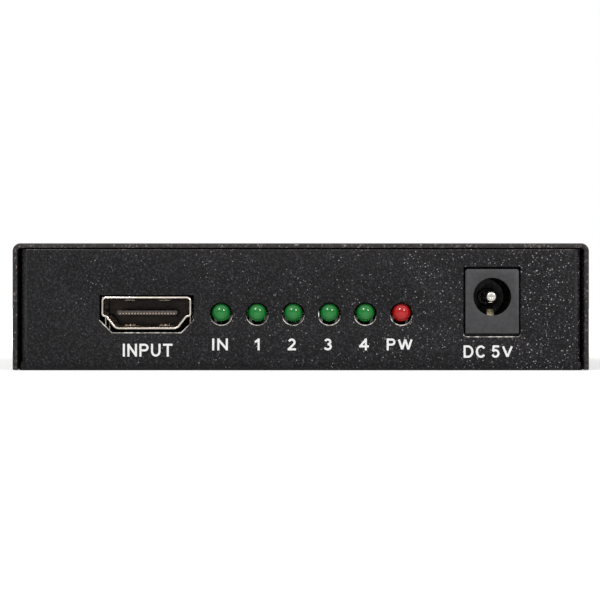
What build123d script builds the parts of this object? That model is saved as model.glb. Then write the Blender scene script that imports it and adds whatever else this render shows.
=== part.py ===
from build123d import *
import math
import os

# HDMI splitter with one input in the front panel and four outputs in the back panel.
# Millimetres. X runs to the right seen from the front, Y from the front to the back, Z up.
# The origin is the middle of the underside.

# Every cut runs this far past what it cuts
OVERRUN = 1.0
# Gap round a piece that sits in a hole, a slot or a bore
FIT = 0.02

# Case: what the cover and the tray share
CASE_WIDTH = 96.0
CASE_DEPTH = 62.0
COVER_SHEET = 0.8
TRAY_SHEET = 0.8

# Cover: a sheet bent to a channel, open to the front, the back and below
COVER_BEND = 1.3
COVER_LIFT = 0.1

# Tray: floor and two panels, with tabs folded back at the panels' sides
FLOOR_GAP = 0.1
PANEL_GAP = 0.6
PANEL_TOP_GAP = 0.2
PANEL_BEND = 1.3
TAB_BEND = 1.0
TAB_DEPTH = 9.0
RELIEF = 0.3

# Cover screws: countersunk, two in each side wall, into the nuts pressed in the tabs
SCREW_RADIUS = 1.5
COVER_SCREW_LENGTH = 5.0
COVER_SCREW_SUNK = 0.05
COVER_SCREW_INSET = 5.5
COVER_SCREW_HEIGHT = 12.0
NUT_ACROSS = 5.5
NUT_DEPTH = 1.5

# Board, and the hexagonal standoffs that its screws go into
BOARD_SHEET = 1.6
BOARD_SIDE_GAP = 2.2
BOARD_PANEL_GAP = 1.0
STANDOFF_HEIGHT = 3.8
STANDOFF_ACROSS = 5.0
BOARD_SCREW_HEAD = 2.6
BOARD_SCREW_HEAD_HEIGHT = 1.9
BOARD_HOLE = 1.7
BOARD_SCREW_EDGE = 4.0
FRONT_SCREW_EDGE = 6.2
BACK_SCREW_EDGE = 15.2

# Sockets: the mouth that a plug goes into, wide side up
MOUTH_WIDTH = 14.0
MOUTH_HEIGHT = 4.5
MOUTH_SIDE = 2.45
MOUTH_SHOULDER = 0.55
MOUTH_FOOT = 9.8
SOCKET_AXIS = 3.4
SOCKET_PROUD = 0.3
SOCKET_HOLE_GAP = 0.31
SOCKET_HOLE_DROP_share = 0.5
INPUT_PLACE_share = -0.2677
OUTPUT_COUNT = 4
OUTPUT_PITCH_share = 0.2292

# Socket shell: plated sheet with a flared lip, sprung fingers and legs soldered into the board
SHELL_SHEET = 0.3
SHELL_LENGTH = 11.5
SHELL_BEND = 0.3
LIP_FLARE = 0.225
LIP_DEPTH = 1.1
LEG_WIDTH = 1.5
LEG_BELOW_BOARD = 0.7
FRONT_LEG_EDGE = 0.9
BACK_LEG_EDGE = 1.2
FINGER_WIDTH = 1.8
FINGER_GAP = 0.3
FINGER_PLACE = 2.9
FINGER_START = 2.0
FINGER_ROOT = 7.0
FINGER_DIP = 0.5
FINGER_CURL = 0.25
FINGER_BUMP_share = 0.3

# Socket insulator and contacts
TONGUE_WIDTH = 10.0
TONGUE_SHEET = 0.7
TONGUE_RECESS = 1.5
INSULATOR_GAP = 0.03
INSULATOR_BLOCK = 3.5
INSULATOR_PROUD = 0.4
CONTACT_SHEET = 0.15
CONTACT_WIDTH = 0.35
CONTACT_PITCH = 1.0
UPPER_CONTACT_COUNT = 10
CONTACT_RECESS = 0.5
CONTACT_ROW_GAP = 0.5

# Lamps: 3 mm LEDs laid along Y, leads bent down into the board
LED_NAMES = ["led_input", "led_1", "led_2", "led_3", "led_4", "led_power"]
LED_RADIUS = 1.55
LED_LENGTH = 5.3
LED_PROUD = 1.2
LED_TIP = 0.45
LED_AXIS = 3.5
LED_HOLE_GAP = 0.275
LED_HOLE_DROP_share = 0.95
LED_START_share = 0.108
LED_PITCH_share = 0.13165
LEAD_SIDE = 0.45
LEAD_PITCH = 2.54
LEAD_REACH = 2.4

# Power jack: a barrel for a 5.5 mm plug with a 2 mm pin, moulded in one with its front block
JACK_WIDTH = 8.9
JACK_HEIGHT = 10.7
JACK_LENGTH = 14.2
JACK_BLOCK = 3.5
JACK_STEP = 0.15
JACK_CORNER = 0.3
JACK_PROUD = 0.3
JACK_HOLE_GAP = 0.265
JACK_HOLE_GAP_HIGH = 0.4
JACK_HOLE_DROP_share = 0.25
JACK_HOLE_CORNER = 0.5
JACK_EDGE = 11.7
BORE_RADIUS = 3.14
BORE_DEPTH = 10.0
BORE_AXIS = 6.1
BORE_BOSS = 1.45
BORE_BOSS_HEIGHT = 0.5
PIN_RADIUS = 1.0
PIN_RECESS = 1.0
PIN_SHANK = 0.8

# Power jack terminals and the sprung leaf under the bore
TERMINAL_SHEET = 0.3
TERMINAL_WIDTH = 2.4
TERMINAL_RISE = 1.3
TERMINAL_BELOW_BOARD = 1.0
LEAF_SHEET = 0.25
LEAF_WIDTH = 1.2
LEAF_SIDE_GAP = 0.5
LEAF_HUMP_DEPTH = 3.5
LEAF_HUMP_PROUD = 1.24
LEAF_HUMP_BEND = 0.6
LEAF_TIP = 1.6
LEAF_TIP_DROP = 1.7
LEAF_TIP_GAP = 0.5
LEAF_ROOT_DEPTH = 10.0
LEAF_ROOT_DROP = 1.45
KNUCKLE_RADIUS = 0.25
KNUCKLE_GAP = 0.15
STOP_SHEET = 0.25
STOP_WIDTH = 0.8
STOP_BELOW_BORE = 0.06
STOP_GAP = 0.08

# Parts on the board: sizes, with their places as shares of the board's width and depth
BODY_GAP = 0.1
CHIP_SIDE = 12.0
CHIP_HEIGHT = 0.9
CHIP_CORNER = 0.4
CHIP_PLACE_share = (-0.03, 0.02)
MEMORY_WIDTH = 3.9
MEMORY_LENGTH = 4.9
MEMORY_HEIGHT = 1.5
MEMORY_LEAD_COUNT = 4
MEMORY_PLACE_share = (-0.27, 0.05)
LEAD_REACH_CHIP = 1.0
LEAD_SHEET_CHIP = 0.2
LEAD_WIDTH_share = 0.45
LEAD_ROW_share = 0.9
REGULATOR_WIDTH = 6.5
REGULATOR_DEPTH = 3.5
REGULATOR_HEIGHT = 1.6
REGULATOR_TAB_WIDTH = 3.0
REGULATOR_LEAD_COUNT = 3
REGULATOR_PLACE_share = (0.3, 0.03)
CRYSTAL_WIDTH = 11.0
CRYSTAL_DEPTH = 4.4
CRYSTAL_HEIGHT = 3.4
CRYSTAL_CORNER = 1.3
CRYSTAL_PLACE_share = (-0.03, -0.19)
CAN_RADIUS = 3.15
CAN_HEIGHT = 6.6
CAN_BASE_HEIGHT = 1.1
CAN_BASE_CORNER = 1.2
CAN_PLACES_share = ((0.44, -0.08), (0.3, 0.17))
COIL_SIDE = 7.0
COIL_HEIGHT = 3.5
COIL_CORNER = 1.6
COIL_PLACE_share = (0.19, -0.06)
CERAMIC_SIZE = (2.0, 1.25, 0.8)
CERAMIC_ROW_COUNT = 2
CERAMIC_COLUMN_COUNT = 8
CERAMIC_PITCH_share = (0.085, 0.065)
CERAMIC_PLACE_share = (-0.1, 0.21)
RESISTOR_SIZE = (1.6, 0.8, 0.45)
RESISTOR_ROW_COUNT = 3
RESISTOR_COLUMN_COUNT = 4
RESISTOR_PITCH_share = (0.04, 0.05)
RESISTOR_PLACE_share = (-0.27, -0.11)

# Heights in the case, from the floor up. The jack is the tallest part and sets the headroom
HEADROOM = 3.3
FLOOR_TOP = TRAY_SHEET
BOARD_UNDER = FLOOR_TOP + STANDOFF_HEIGHT
BOARD_TOP = BOARD_UNDER + BOARD_SHEET
PANEL_TOP = BOARD_TOP + JACK_HEIGHT + HEADROOM
CASE_HEIGHT = PANEL_TOP + PANEL_TOP_GAP + COVER_SHEET

# Places seen from the front
FRONT = -CASE_DEPTH / 2
BACK = CASE_DEPTH / 2
WALL_INSIDE = CASE_WIDTH / 2 - COVER_SHEET
TAB_OUTSIDE = WALL_INSIDE - PANEL_GAP
SOCKET_HEIGHT = BOARD_TOP + SOCKET_AXIS
SOCKET_HOLE_HEIGHT = SOCKET_HEIGHT - SOCKET_HOLE_DROP_share * SOCKET_HOLE_GAP
LIP_WIDTH = MOUTH_WIDTH + 2 * (SHELL_SHEET + LIP_FLARE)
INPUT_X = INPUT_PLACE_share * CASE_WIDTH
OUTPUT_PITCH = OUTPUT_PITCH_share * CASE_WIDTH
OUTPUT_XS = [(i - (OUTPUT_COUNT - 1) / 2) * OUTPUT_PITCH for i in range(OUTPUT_COUNT)]
JACK_X = CASE_WIDTH / 2 - JACK_EDGE - JACK_WIDTH / 2
LED_ROOM = (JACK_X - JACK_WIDTH / 2) - (INPUT_X + LIP_WIDTH / 2)
LED_PITCH = LED_PITCH_share * LED_ROOM
LED_START = INPUT_X + LIP_WIDTH / 2 + LED_START_share * LED_ROOM
LED_XS = [LED_START + i * LED_PITCH for i in range(len(LED_NAMES))]
LED_HEIGHT = BOARD_TOP + LED_AXIS
JACK_FACE = FRONT - JACK_PROUD
JACK_AXIS_HEIGHT = BOARD_TOP + BORE_AXIS

# Board outline and the places of its screws
BOARD_WIDTH = 2 * (WALL_INSIDE - BOARD_SIDE_GAP)
BOARD_DEPTH = CASE_DEPTH - 2 * (TRAY_SHEET + BOARD_PANEL_GAP)
BOARD_SCREW_X = BOARD_WIDTH / 2 - BOARD_SCREW_EDGE
BOARD_SCREW_SPOTS = [
    (side * BOARD_SCREW_X, y)
    for side in (-1, 1)
    for y in (-BOARD_DEPTH / 2 + FRONT_SCREW_EDGE, BOARD_DEPTH / 2 - BACK_SCREW_EDGE)
]

# Where the lips' rear ends, the board's edge and the legs lie, back from a socket's lip
SOCKET_BOARD_EDGE = SOCKET_PROUD + TRAY_SHEET + BOARD_PANEL_GAP
LEG_STARTS = (SOCKET_BOARD_EDGE + FRONT_LEG_EDGE, SHELL_LENGTH - BACK_LEG_EDGE - LEG_WIDTH)

# Sprung leaf: its hinge, its hump and its stop, back from the jack's face and up from the bore's axis
LEAF_HINGE = (LEAF_ROOT_DEPTH, -BORE_RADIUS - LEAF_ROOT_DROP)
LEAF_HUMP = (LEAF_HUMP_DEPTH, LEAF_HUMP_PROUD - BORE_RADIUS - LEAF_SHEET / 2)
LEAF_END = (LEAF_HUMP_DEPTH - LEAF_TIP, LEAF_HUMP[1] - LEAF_TIP_DROP)
LEAF_SLOPE = (LEAF_HUMP[1] - LEAF_HINGE[1]) / (LEAF_HINGE[0] - LEAF_HUMP[0])
STOP_TOP = -BORE_RADIUS - STOP_BELOW_BORE
STOP_UNDER = STOP_TOP - STOP_SHEET
LEAF_AT_STOP = STOP_UNDER - STOP_GAP - LEAF_SHEET / 2 * math.hypot(1, LEAF_SLOPE)
STOP_START = LEAF_HINGE[0] - (LEAF_AT_STOP - LEAF_HINGE[1]) / LEAF_SLOPE
SLEEVE_TERMINAL_START = LEAF_HINGE[0] + KNUCKLE_RADIUS + KNUCKLE_GAP
LEAF_SLOT = (LEAF_END[0] - LEAF_TIP_GAP, SLEEVE_TERMINAL_START + TERMINAL_SHEET)


def block(x, y, z):
    """Box between the two ends given for each axis"""
    return Pos(x[0], y[0], z[0]) * Box(x[1] - x[0], y[1] - y[0], z[1] - z[0], align=Align.MIN)


def from_front(face, start, length):
    """Solid of a face drawn as seen from the front, from start towards the back"""
    return Pos(0, start, 0) * extrude(Plane.XZ * face, amount=-length)


def from_side(face, start, length):
    """Solid of a face drawn with Y across and Z up, from start along X"""
    return Pos(start, 0, 0) * extrude(Plane.YZ * face, amount=length)


def outline(*points):
    """Face inside straight lines from point to point"""
    return make_face(Polyline(*points, close=True))


def rod(radius, start, length, along=(0, 0, 1)):
    """Round bar from a point, along a direction"""
    bar = Cylinder(radius, length, align=(Align.CENTER, Align.CENTER, Align.MIN))
    return Plane(origin=start, z_dir=along) * bar


def cone(start_radius, end_radius, start, length, along=(0, 0, 1)):
    """Round bar from a point, along a direction, that narrows or widens"""
    bar = Cone(start_radius, end_radius, length, align=(Align.CENTER, Align.CENTER, Align.MIN))
    return Plane(origin=start, z_dir=along) * bar


def channel(width, leg, sheet, bend):
    """Section of a sheet bent to a channel: the web at zero, the legs below it"""
    outer = Pos(0, -leg / 2) * Rectangle(width, leg)
    outer = fillet(outer.vertices().group_by(Axis.Y)[-1], bend)
    inner = Pos(0, -sheet - leg / 2) * Rectangle(width - 2 * sheet, leg)
    if bend > sheet:
        inner = fillet(inner.vertices().group_by(Axis.Y)[-1], bend - sheet)
    return outer - inner


def cut_block(width, depth, height, corner):
    """Upright block with its corners cut off"""
    return extrude(chamfer(Rectangle(width, depth).vertices(), corner), amount=height)


def cover_screw_spots():
    """Head place and inward direction of each cover screw"""
    y = CASE_DEPTH / 2 - COVER_SCREW_INSET
    return [
        ((side * CASE_WIDTH / 2, end * y, COVER_SCREW_HEIGHT), (-side, 0, 0))
        for side in (-1, 1)
        for end in (-1, 1)
    ]


def inward(spot, way, distance):
    """Point at a distance inwards from a cover screw's place"""
    return (spot[0] + way[0] * distance, spot[1], spot[2])


def countersink(spot, way, grow):
    """Cone under a cover screw's flat head, grown for its seat in the cover"""
    depth = COVER_SHEET - COVER_SCREW_SUNK
    radius = SCREW_RADIUS + grow
    return cone(radius + depth, radius, inward(spot, way, COVER_SCREW_SUNK), depth, way)


def top_cover():
    """Cover with a countersunk hole for each screw in its side walls"""
    section = Pos(0, CASE_HEIGHT) * channel(CASE_WIDTH, CASE_HEIGHT - COVER_LIFT, COVER_SHEET, COVER_BEND)
    cover = from_front(section, FRONT, CASE_DEPTH)
    for spot, way in cover_screw_spots():
        cover -= countersink(spot, way, FIT + COVER_SCREW_SUNK)
    return cover


def cover_screws():
    """Countersunk screws, their heads just under the cover's side walls"""
    screws = []
    for spot, way in cover_screw_spots():
        top = inward(spot, way, COVER_SCREW_SUNK)
        screws.append(countersink(spot, way, 0) + rod(SCREW_RADIUS, top, COVER_SCREW_LENGTH, way))
    return Compound(children=screws)


def socket_face(grow):
    """Face of a socket's mouth, grown by a wall"""
    half, top, foot = MOUTH_WIDTH / 2, MOUTH_HEIGHT / 2, MOUTH_FOOT / 2
    shoulder = top - MOUTH_SIDE
    right = [(half, top), (half, shoulder), (half - MOUTH_SHOULDER, shoulder), (foot, -top)]
    left = [(-x, z) for x, z in reversed(right)]
    face = outline(*right, *left)
    return offset(face, grow, kind=Kind.INTERSECTION) if grow else face


def socket_hole():
    """Face of the hole that is punched for a socket, its lower corners cut off"""
    half = LIP_WIDTH / 2 + SOCKET_HOLE_GAP
    high = MOUTH_HEIGHT / 2 + SHELL_SHEET + LIP_FLARE + SOCKET_HOLE_GAP
    cut = half - (MOUTH_FOOT / 2 + SHELL_SHEET + LIP_FLARE + SOCKET_HOLE_GAP)
    return outline((-half, high), (half, high), (half, cut - high), (half - cut, -high),
                   (cut - half, -high), (-half, cut - high))


def front_holes():
    """Faces of the front panel's holes, in place as seen from the front"""
    led_drop = LED_HOLE_DROP_share * LED_HOLE_GAP
    jack_drop = JACK_HOLE_DROP_share * JACK_HOLE_GAP_HIGH
    jack = Rectangle(JACK_WIDTH + 2 * JACK_HOLE_GAP, JACK_HEIGHT + 2 * JACK_HOLE_GAP_HIGH)
    jack = fillet(jack.vertices().group_by(Axis.Y)[0], JACK_HOLE_CORNER)
    faces = [Pos(INPUT_X, SOCKET_HOLE_HEIGHT) * socket_hole()]
    faces += [Pos(x, LED_HEIGHT - led_drop) * Circle(LED_RADIUS + LED_HOLE_GAP) for x in LED_XS]
    faces.append(Pos(JACK_X, BOARD_TOP + JACK_HEIGHT / 2 - jack_drop) * jack)
    return faces


def base_tray():
    """Floor and panels in one bent sheet, with tabs, the nuts pressed in them, and punched holes"""
    panel_width = 2 * TAB_OUTSIDE
    fold_width = panel_width - 2 * TAB_BEND
    fold = Rot(0, 0, 180) * channel(CASE_DEPTH, PANEL_TOP, TRAY_SHEET, PANEL_BEND)
    tray = from_side(fold, -fold_width / 2, fold_width)

    # Below the tabs the panels run the full width
    tab_start = PANEL_BEND + COVER_LIFT
    low_fold = Rot(0, 0, 180) * channel(CASE_DEPTH, tab_start, TRAY_SHEET, PANEL_BEND)
    tray += from_side(low_fold, -panel_width / 2, panel_width)

    plan = channel(panel_width, TAB_DEPTH, TRAY_SHEET, TAB_BEND)
    for panel in (Pos(0, BACK) * plan, Pos(0, FRONT) * Rot(0, 0, 180) * plan):
        tray += Pos(0, 0, tab_start) * extrude(panel, amount=PANEL_TOP - tab_start)

    floor_x = WALL_INSIDE - FLOOR_GAP
    floor_y = CASE_DEPTH / 2 - PANEL_BEND - RELIEF
    tray += block((-floor_x, floor_x), (-floor_y, floor_y), (0, FLOOR_TOP))

    nut = extrude(RegularPolygon(NUT_ACROSS / 2, 6, major_radius=False), amount=NUT_DEPTH)
    for spot, way in cover_screw_spots():
        seat = inward(spot, way, COVER_SHEET + PANEL_GAP + TRAY_SHEET)
        tray += Plane(origin=seat, z_dir=way) * nut
    for spot, way in cover_screw_spots():
        tray -= rod(SCREW_RADIUS + FIT, spot, COVER_SCREW_LENGTH + OVERRUN, way)

    cut = TRAY_SHEET + 2 * OVERRUN
    for face in front_holes():
        tray -= from_front(face, FRONT - OVERRUN, cut)
    for x in OUTPUT_XS:
        hole = Pos(x, SOCKET_HOLE_HEIGHT) * socket_hole()
        tray -= from_front(hole, BACK - TRAY_SHEET - OVERRUN, cut)
    return tray


def board_standoffs():
    """Standoffs welded to the floor, each with its screw, whose head holds the board down"""
    post = extrude(RegularPolygon(STANDOFF_ACROSS / 2, 6, major_radius=False), amount=STANDOFF_HEIGHT)
    post += rod(SCREW_RADIUS, (0, 0, STANDOFF_HEIGHT), BOARD_SHEET)
    post += rod(BOARD_SCREW_HEAD, (0, 0, STANDOFF_HEIGHT + BOARD_SHEET), BOARD_SCREW_HEAD_HEIGHT)
    return Compound(children=[Pos(x, y, FLOOR_TOP) * post for x, y in BOARD_SCREW_SPOTS])


def socket_places():
    """Name and place of each socket: the middle of its lip, with Y running into the case"""
    front = Pos(INPUT_X, FRONT - SOCKET_PROUD, SOCKET_HEIGHT)
    places = [("input", front)]
    for number, x in enumerate(reversed(OUTPUT_XS), start=1):
        back = Pos(x, BACK + SOCKET_PROUD, SOCKET_HEIGHT) * Rot(0, 0, 180)
        places.append((f"output_{number}", back))
    return places


def socket_leg(start, grow):
    """One leg of a shell's right side, from its shoulder through the board, grown for its slot"""
    side = (MOUTH_WIDTH / 2 - grow, MOUTH_WIDTH / 2 + SHELL_SHEET + grow)
    below = -SOCKET_AXIS - BOARD_SHEET - LEG_BELOW_BOARD - grow
    return block(side, (start - grow, start + LEG_WIDTH + grow), (below, MOUTH_HEIGHT / 2 - MOUTH_SIDE / 2))


def spring_finger():
    """Side outline of the finger in a shell's top wall: root at the back, hump, and curled tip"""
    wall = MOUTH_HEIGHT / 2
    bump = FINGER_START + FINGER_BUMP_share * (FINGER_ROOT - FINGER_START)
    low = wall - FINGER_DIP
    tip = low + FINGER_CURL
    return outline((FINGER_ROOT, wall), (FINGER_ROOT, wall + SHELL_SHEET), (bump, low + SHELL_SHEET),
                   (FINGER_START, tip + SHELL_SHEET), (FINGER_START, tip), (bump, low))


def bent_face(grow):
    """Outer face of the shell's sheet, with its bends along the top and the bottom cut off"""
    face = socket_face(grow)
    rows = face.vertices().group_by(Axis.Y)
    return chamfer([*rows[0], *rows[-1]], SHELL_BEND)


def flared(lip_face, wall_face, length):
    """Solid from a lip that narrows to a wall, and on towards the back"""
    throat = Pos(0, LIP_DEPTH, 0) * (Plane.XZ * wall_face)
    lip = loft([Plane.XZ * lip_face, throat], ruled=True)
    return lip + from_front(wall_face, LIP_DEPTH, length - LIP_DEPTH)


def socket_shell():
    """Shell with a flared lip, two sprung fingers above and two below, and four legs"""
    shell = flared(bent_face(SHELL_SHEET + LIP_FLARE), bent_face(SHELL_SHEET), SHELL_LENGTH)
    shell -= flared(socket_face(LIP_FLARE), socket_face(0), SHELL_LENGTH + OVERRUN)

    window = (FINGER_START - FINGER_GAP, FINGER_ROOT)
    wall_top = MOUTH_HEIGHT / 2 + SHELL_SHEET + OVERRUN
    half = FINGER_WIDTH / 2
    for x in (-FINGER_PLACE, FINGER_PLACE):
        opening = (x - half - FINGER_GAP, x + half + FINGER_GAP)
        shell -= block(opening, window, (-wall_top, wall_top))
    for x in (-FINGER_PLACE, FINGER_PLACE):
        finger = from_side(spring_finger(), x - half, FINGER_WIDTH)
        shell += finger
        shell += mirror(finger, about=Plane.XY)
    for start in LEG_STARTS:
        leg = socket_leg(start, 0)
        shell += leg
        shell += mirror(leg, about=Plane.YZ)
    return shell


def contact_rows():
    """Places of the contacts in the upper row and, between them, in the lower row"""
    first = -(UPPER_CONTACT_COUNT - 1) / 2 * CONTACT_PITCH
    upper = [first + i * CONTACT_PITCH for i in range(UPPER_CONTACT_COUNT)]
    lower = [x + CONTACT_PITCH / 2 for x in upper[:-1]]
    return upper, lower


def socket_insulator():
    """Tongue on a block that fills the back of the shell, with a slot for each row of contacts"""
    half = TONGUE_SHEET / 2
    block_start = SHELL_LENGTH - INSULATOR_BLOCK
    tongue = block((-TONGUE_WIDTH / 2, TONGUE_WIDTH / 2), (TONGUE_RECESS, block_start), (-half, half))
    body = from_front(socket_face(-INSULATOR_GAP), block_start, INSULATOR_BLOCK + INSULATOR_PROUD)
    slot_x = contact_rows()[0][-1] + CONTACT_WIDTH / 2 + FIT
    slot_y = (block_start - OVERRUN, SHELL_LENGTH + INSULATOR_PROUD + OVERRUN)
    slot = block((-slot_x, slot_x), slot_y, (half, half + CONTACT_SHEET + FIT))
    return body - slot - mirror(slot, about=Plane.XY) + tongue


def contact(under, back):
    """One contact: a blade along the tongue, then a tail down to the board behind the block"""
    tip, over = TONGUE_RECESS + CONTACT_RECESS, under + CONTACT_SHEET
    face = outline((tip, over), (back + CONTACT_SHEET, over), (back + CONTACT_SHEET, -SOCKET_AXIS),
                   (back, -SOCKET_AXIS), (back, under), (tip, under))
    return from_side(face, -CONTACT_WIDTH / 2, CONTACT_WIDTH)


def socket_contacts():
    """Two staggered rows of contacts, above and below the tongue"""
    half = TONGUE_SHEET / 2
    near = SHELL_LENGTH + INSULATOR_PROUD + CONTACT_ROW_GAP
    upper_row, lower_row = contact_rows()
    upper = contact(half, near + CONTACT_ROW_GAP)
    lower = contact(-half - CONTACT_SHEET, near)
    contacts = [Pos(x, 0, 0) * upper for x in upper_row]
    contacts += [Pos(x, 0, 0) * lower for x in lower_row]
    return contacts


def led_body():
    """Lens of an LED, along Y from its bevelled tip"""
    lens = rod(LED_RADIUS, (0, 0, 0), LED_LENGTH, (0, 1, 0))
    return lens.chamfer(LED_TIP, None, lens.edges().group_by(Axis.Y)[0])


def led_places():
    """Tip of each LED"""
    return [Pos(x, FRONT - LED_PROUD, LED_HEIGHT) for x in LED_XS]


def led_lead():
    """One lead, back from an LED and down to the board"""
    half = LEAD_SIDE / 2
    far = LED_LENGTH + LEAD_REACH
    face = outline((LED_LENGTH, half), (far, half), (far, -LED_AXIS), (far - LEAD_SIDE, -LED_AXIS),
                   (far - LEAD_SIDE, -half), (LED_LENGTH, -half))
    return from_side(face, -half, LEAD_SIDE)


def led_leads():
    """Both leads of every LED"""
    lead = led_lead()
    return [place * Pos(side * LEAD_PITCH / 2, 0, 0) * lead for place in led_places() for side in (-1, 1)]


def jack_place():
    """Middle of the bore's mouth on the jack's face"""
    return Pos(JACK_X, JACK_FACE, JACK_AXIS_HEIGHT)


def jack_housing():
    """Front block and round-topped barrel, with the bore, the leaf's slot and the stop's slot"""
    half = JACK_WIDTH / 2
    barrel = half - JACK_STEP
    front = block((-half, half), (0, JACK_BLOCK), (-BORE_AXIS, JACK_HEIGHT - BORE_AXIS))
    front = front.chamfer(JACK_CORNER, None, front.edges().filter_by(Axis.Y).group_by(Axis.Z)[-1])
    body = front + rod(barrel, (0, 0, 0), JACK_LENGTH, (0, 1, 0))
    body += block((-barrel, barrel), (JACK_BLOCK / 2, JACK_LENGTH), (-BORE_AXIS, 0))

    body -= rod(BORE_RADIUS, (0, -OVERRUN, 0), BORE_DEPTH + OVERRUN, (0, 1, 0))
    body += rod(BORE_BOSS, (0, BORE_DEPTH - BORE_BOSS_HEIGHT, 0), BORE_BOSS_HEIGHT, (0, 1, 0))
    body -= rod(PIN_SHANK + FIT, (0, 0, 0), JACK_LENGTH + OVERRUN, (0, 1, 0))

    leaf_side = LEAF_WIDTH / 2 + LEAF_SIDE_GAP
    body -= block((-leaf_side, leaf_side), LEAF_SLOT, (-BORE_AXIS - OVERRUN, -BORE_RADIUS / 2))
    stop_y = (STOP_START - FIT, STOP_START + STOP_WIDTH + FIT)
    return body - block((0, half + OVERRUN), stop_y, (STOP_UNDER - FIT, STOP_TOP + FIT))


def jack_pin():
    """Centre pin: its shoulder seats on the boss in the bore, its shank goes on to the rear terminal"""
    shoulder = BORE_DEPTH - BORE_BOSS_HEIGHT
    pin = rod(PIN_RADIUS, (0, PIN_RECESS, 0), shoulder - PIN_RECESS, (0, 1, 0))
    return pin + rod(PIN_SHANK, (0, shoulder, 0), JACK_LENGTH - shoulder, (0, 1, 0))


def terminal_below():
    """Lower end of the jack's terminals, from the bore's axis"""
    return -BORE_AXIS - BOARD_SHEET - TERMINAL_BELOW_BOARD


def jack_rear_terminal():
    """Plate behind the housing, from the pin's end down through the board"""
    half = TERMINAL_WIDTH / 2
    return block((-half, half), (JACK_LENGTH, JACK_LENGTH + TERMINAL_SHEET), (terminal_below(), TERMINAL_RISE))


def jack_sleeve_terminal():
    """Plate behind the leaf's root, against the end of its slot, down through the board"""
    half = LEAF_WIDTH / 2 + LEAF_SIDE_GAP - FIT
    top = LEAF_HINGE[1] + KNUCKLE_RADIUS
    start = SLEEVE_TERMINAL_START
    return block((-half, half), (start, start + TERMINAL_SHEET), (terminal_below(), top))


def jack_shunt_terminal():
    """Stop above the leaf, out through the housing's side and down through the board"""
    side = JACK_WIDTH / 2 - JACK_STEP
    inner = -LEAF_WIDTH / 2
    low = terminal_below()
    face = outline((inner, STOP_TOP), (side + STOP_SHEET, STOP_TOP), (side + STOP_SHEET, low), (side, low),
                   (side, STOP_UNDER), (inner, STOP_UNDER))
    return from_front(face, STOP_START, STOP_WIDTH)


def jack_leaf():
    """Sprung leaf: a rolled root, a slope up to the hump in the bore, and a short nose"""
    path = FilletPolyline(LEAF_HINGE, LEAF_HUMP, LEAF_END, radius=LEAF_HUMP_BEND)
    face = trace(path, LEAF_SHEET) + Pos(*LEAF_HINGE) * Circle(KNUCKLE_RADIUS)
    return from_side(face, -LEAF_WIDTH / 2, LEAF_WIDTH)


def board_point(share):
    """Point on the board's top, from its shares of the board's width and depth"""
    return Pos(share[0] * BOARD_WIDTH, share[1] * BOARD_DEPTH, BOARD_TOP)


def jack_slots():
    """Cutters for the jack's three terminals in the board, from the bore's mouth"""
    z = (terminal_below() - OVERRUN, -BORE_AXIS + OVERRUN)
    rear = TERMINAL_WIDTH / 2 + FIT
    sleeve = LEAF_WIDTH / 2 + LEAF_SIDE_GAP
    side = JACK_WIDTH / 2 - JACK_STEP
    rear_y = (JACK_LENGTH - FIT, JACK_LENGTH + TERMINAL_SHEET + FIT)
    sleeve_y = (SLEEVE_TERMINAL_START - FIT, SLEEVE_TERMINAL_START + TERMINAL_SHEET + FIT)
    shunt_y = (STOP_START - FIT, STOP_START + STOP_WIDTH + FIT)
    return [
        block((-rear, rear), rear_y, z),
        block((-sleeve, sleeve), sleeve_y, z),
        block((side - FIT, side + STOP_SHEET + FIT), shunt_y, z),
    ]


def main_board():
    """Board with holes for its screws and for everything that is soldered through it"""
    board = block((-BOARD_WIDTH / 2, BOARD_WIDTH / 2), (-BOARD_DEPTH / 2, BOARD_DEPTH / 2),
                  (BOARD_UNDER, BOARD_TOP))
    below = BOARD_UNDER - OVERRUN
    through = BOARD_SHEET + 2 * OVERRUN
    cuts = [rod(BOARD_HOLE, (x, y, below), through) for x, y in BOARD_SCREW_SPOTS]
    for _, place in socket_places():
        legs = [socket_leg(start, FIT) for start in LEG_STARTS]
        cuts += [place * leg for leg in legs]
        cuts += [place * mirror(leg, about=Plane.YZ) for leg in legs]
    cuts += [jack_place() * hole for hole in jack_slots()]
    for cut in cuts:
        board -= cut
    return board


def chip_leads(width, length, height, count):
    """Leads down the right side of a chip: sloped bars from its body to the board"""
    pitch = LEAD_ROW_share * length / count
    half = LEAD_WIDTH_share * pitch / 2
    mid = height / 2
    side = width / 2
    face = outline((side, mid), (side + LEAD_REACH_CHIP, 0), (side + LEAD_REACH_CHIP - LEAD_SHEET_CHIP, 0),
                   (side, mid - LEAD_SHEET_CHIP))
    bar = extrude(Plane.XZ * face, amount=half, both=True)
    return [Pos(0, (i - (count - 1) / 2) * pitch, 0) * bar for i in range(count)]


def splitter_chip():
    """Flat square chip with its contacts underneath"""
    return board_point(CHIP_PLACE_share) * cut_block(CHIP_SIDE, CHIP_SIDE, CHIP_HEIGHT, CHIP_CORNER)


def memory_chip():
    """Small chip with a row of leads on two sides"""
    solids = [block((-MEMORY_WIDTH / 2, MEMORY_WIDTH / 2), (-MEMORY_LENGTH / 2, MEMORY_LENGTH / 2),
                    (BODY_GAP, MEMORY_HEIGHT))]
    row = chip_leads(MEMORY_WIDTH, MEMORY_LENGTH, MEMORY_HEIGHT, MEMORY_LEAD_COUNT)
    solids += [Rot(0, 0, 180 * turn) * lead for turn in range(2) for lead in row]
    return [board_point(MEMORY_PLACE_share) * solid for solid in solids]


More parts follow.
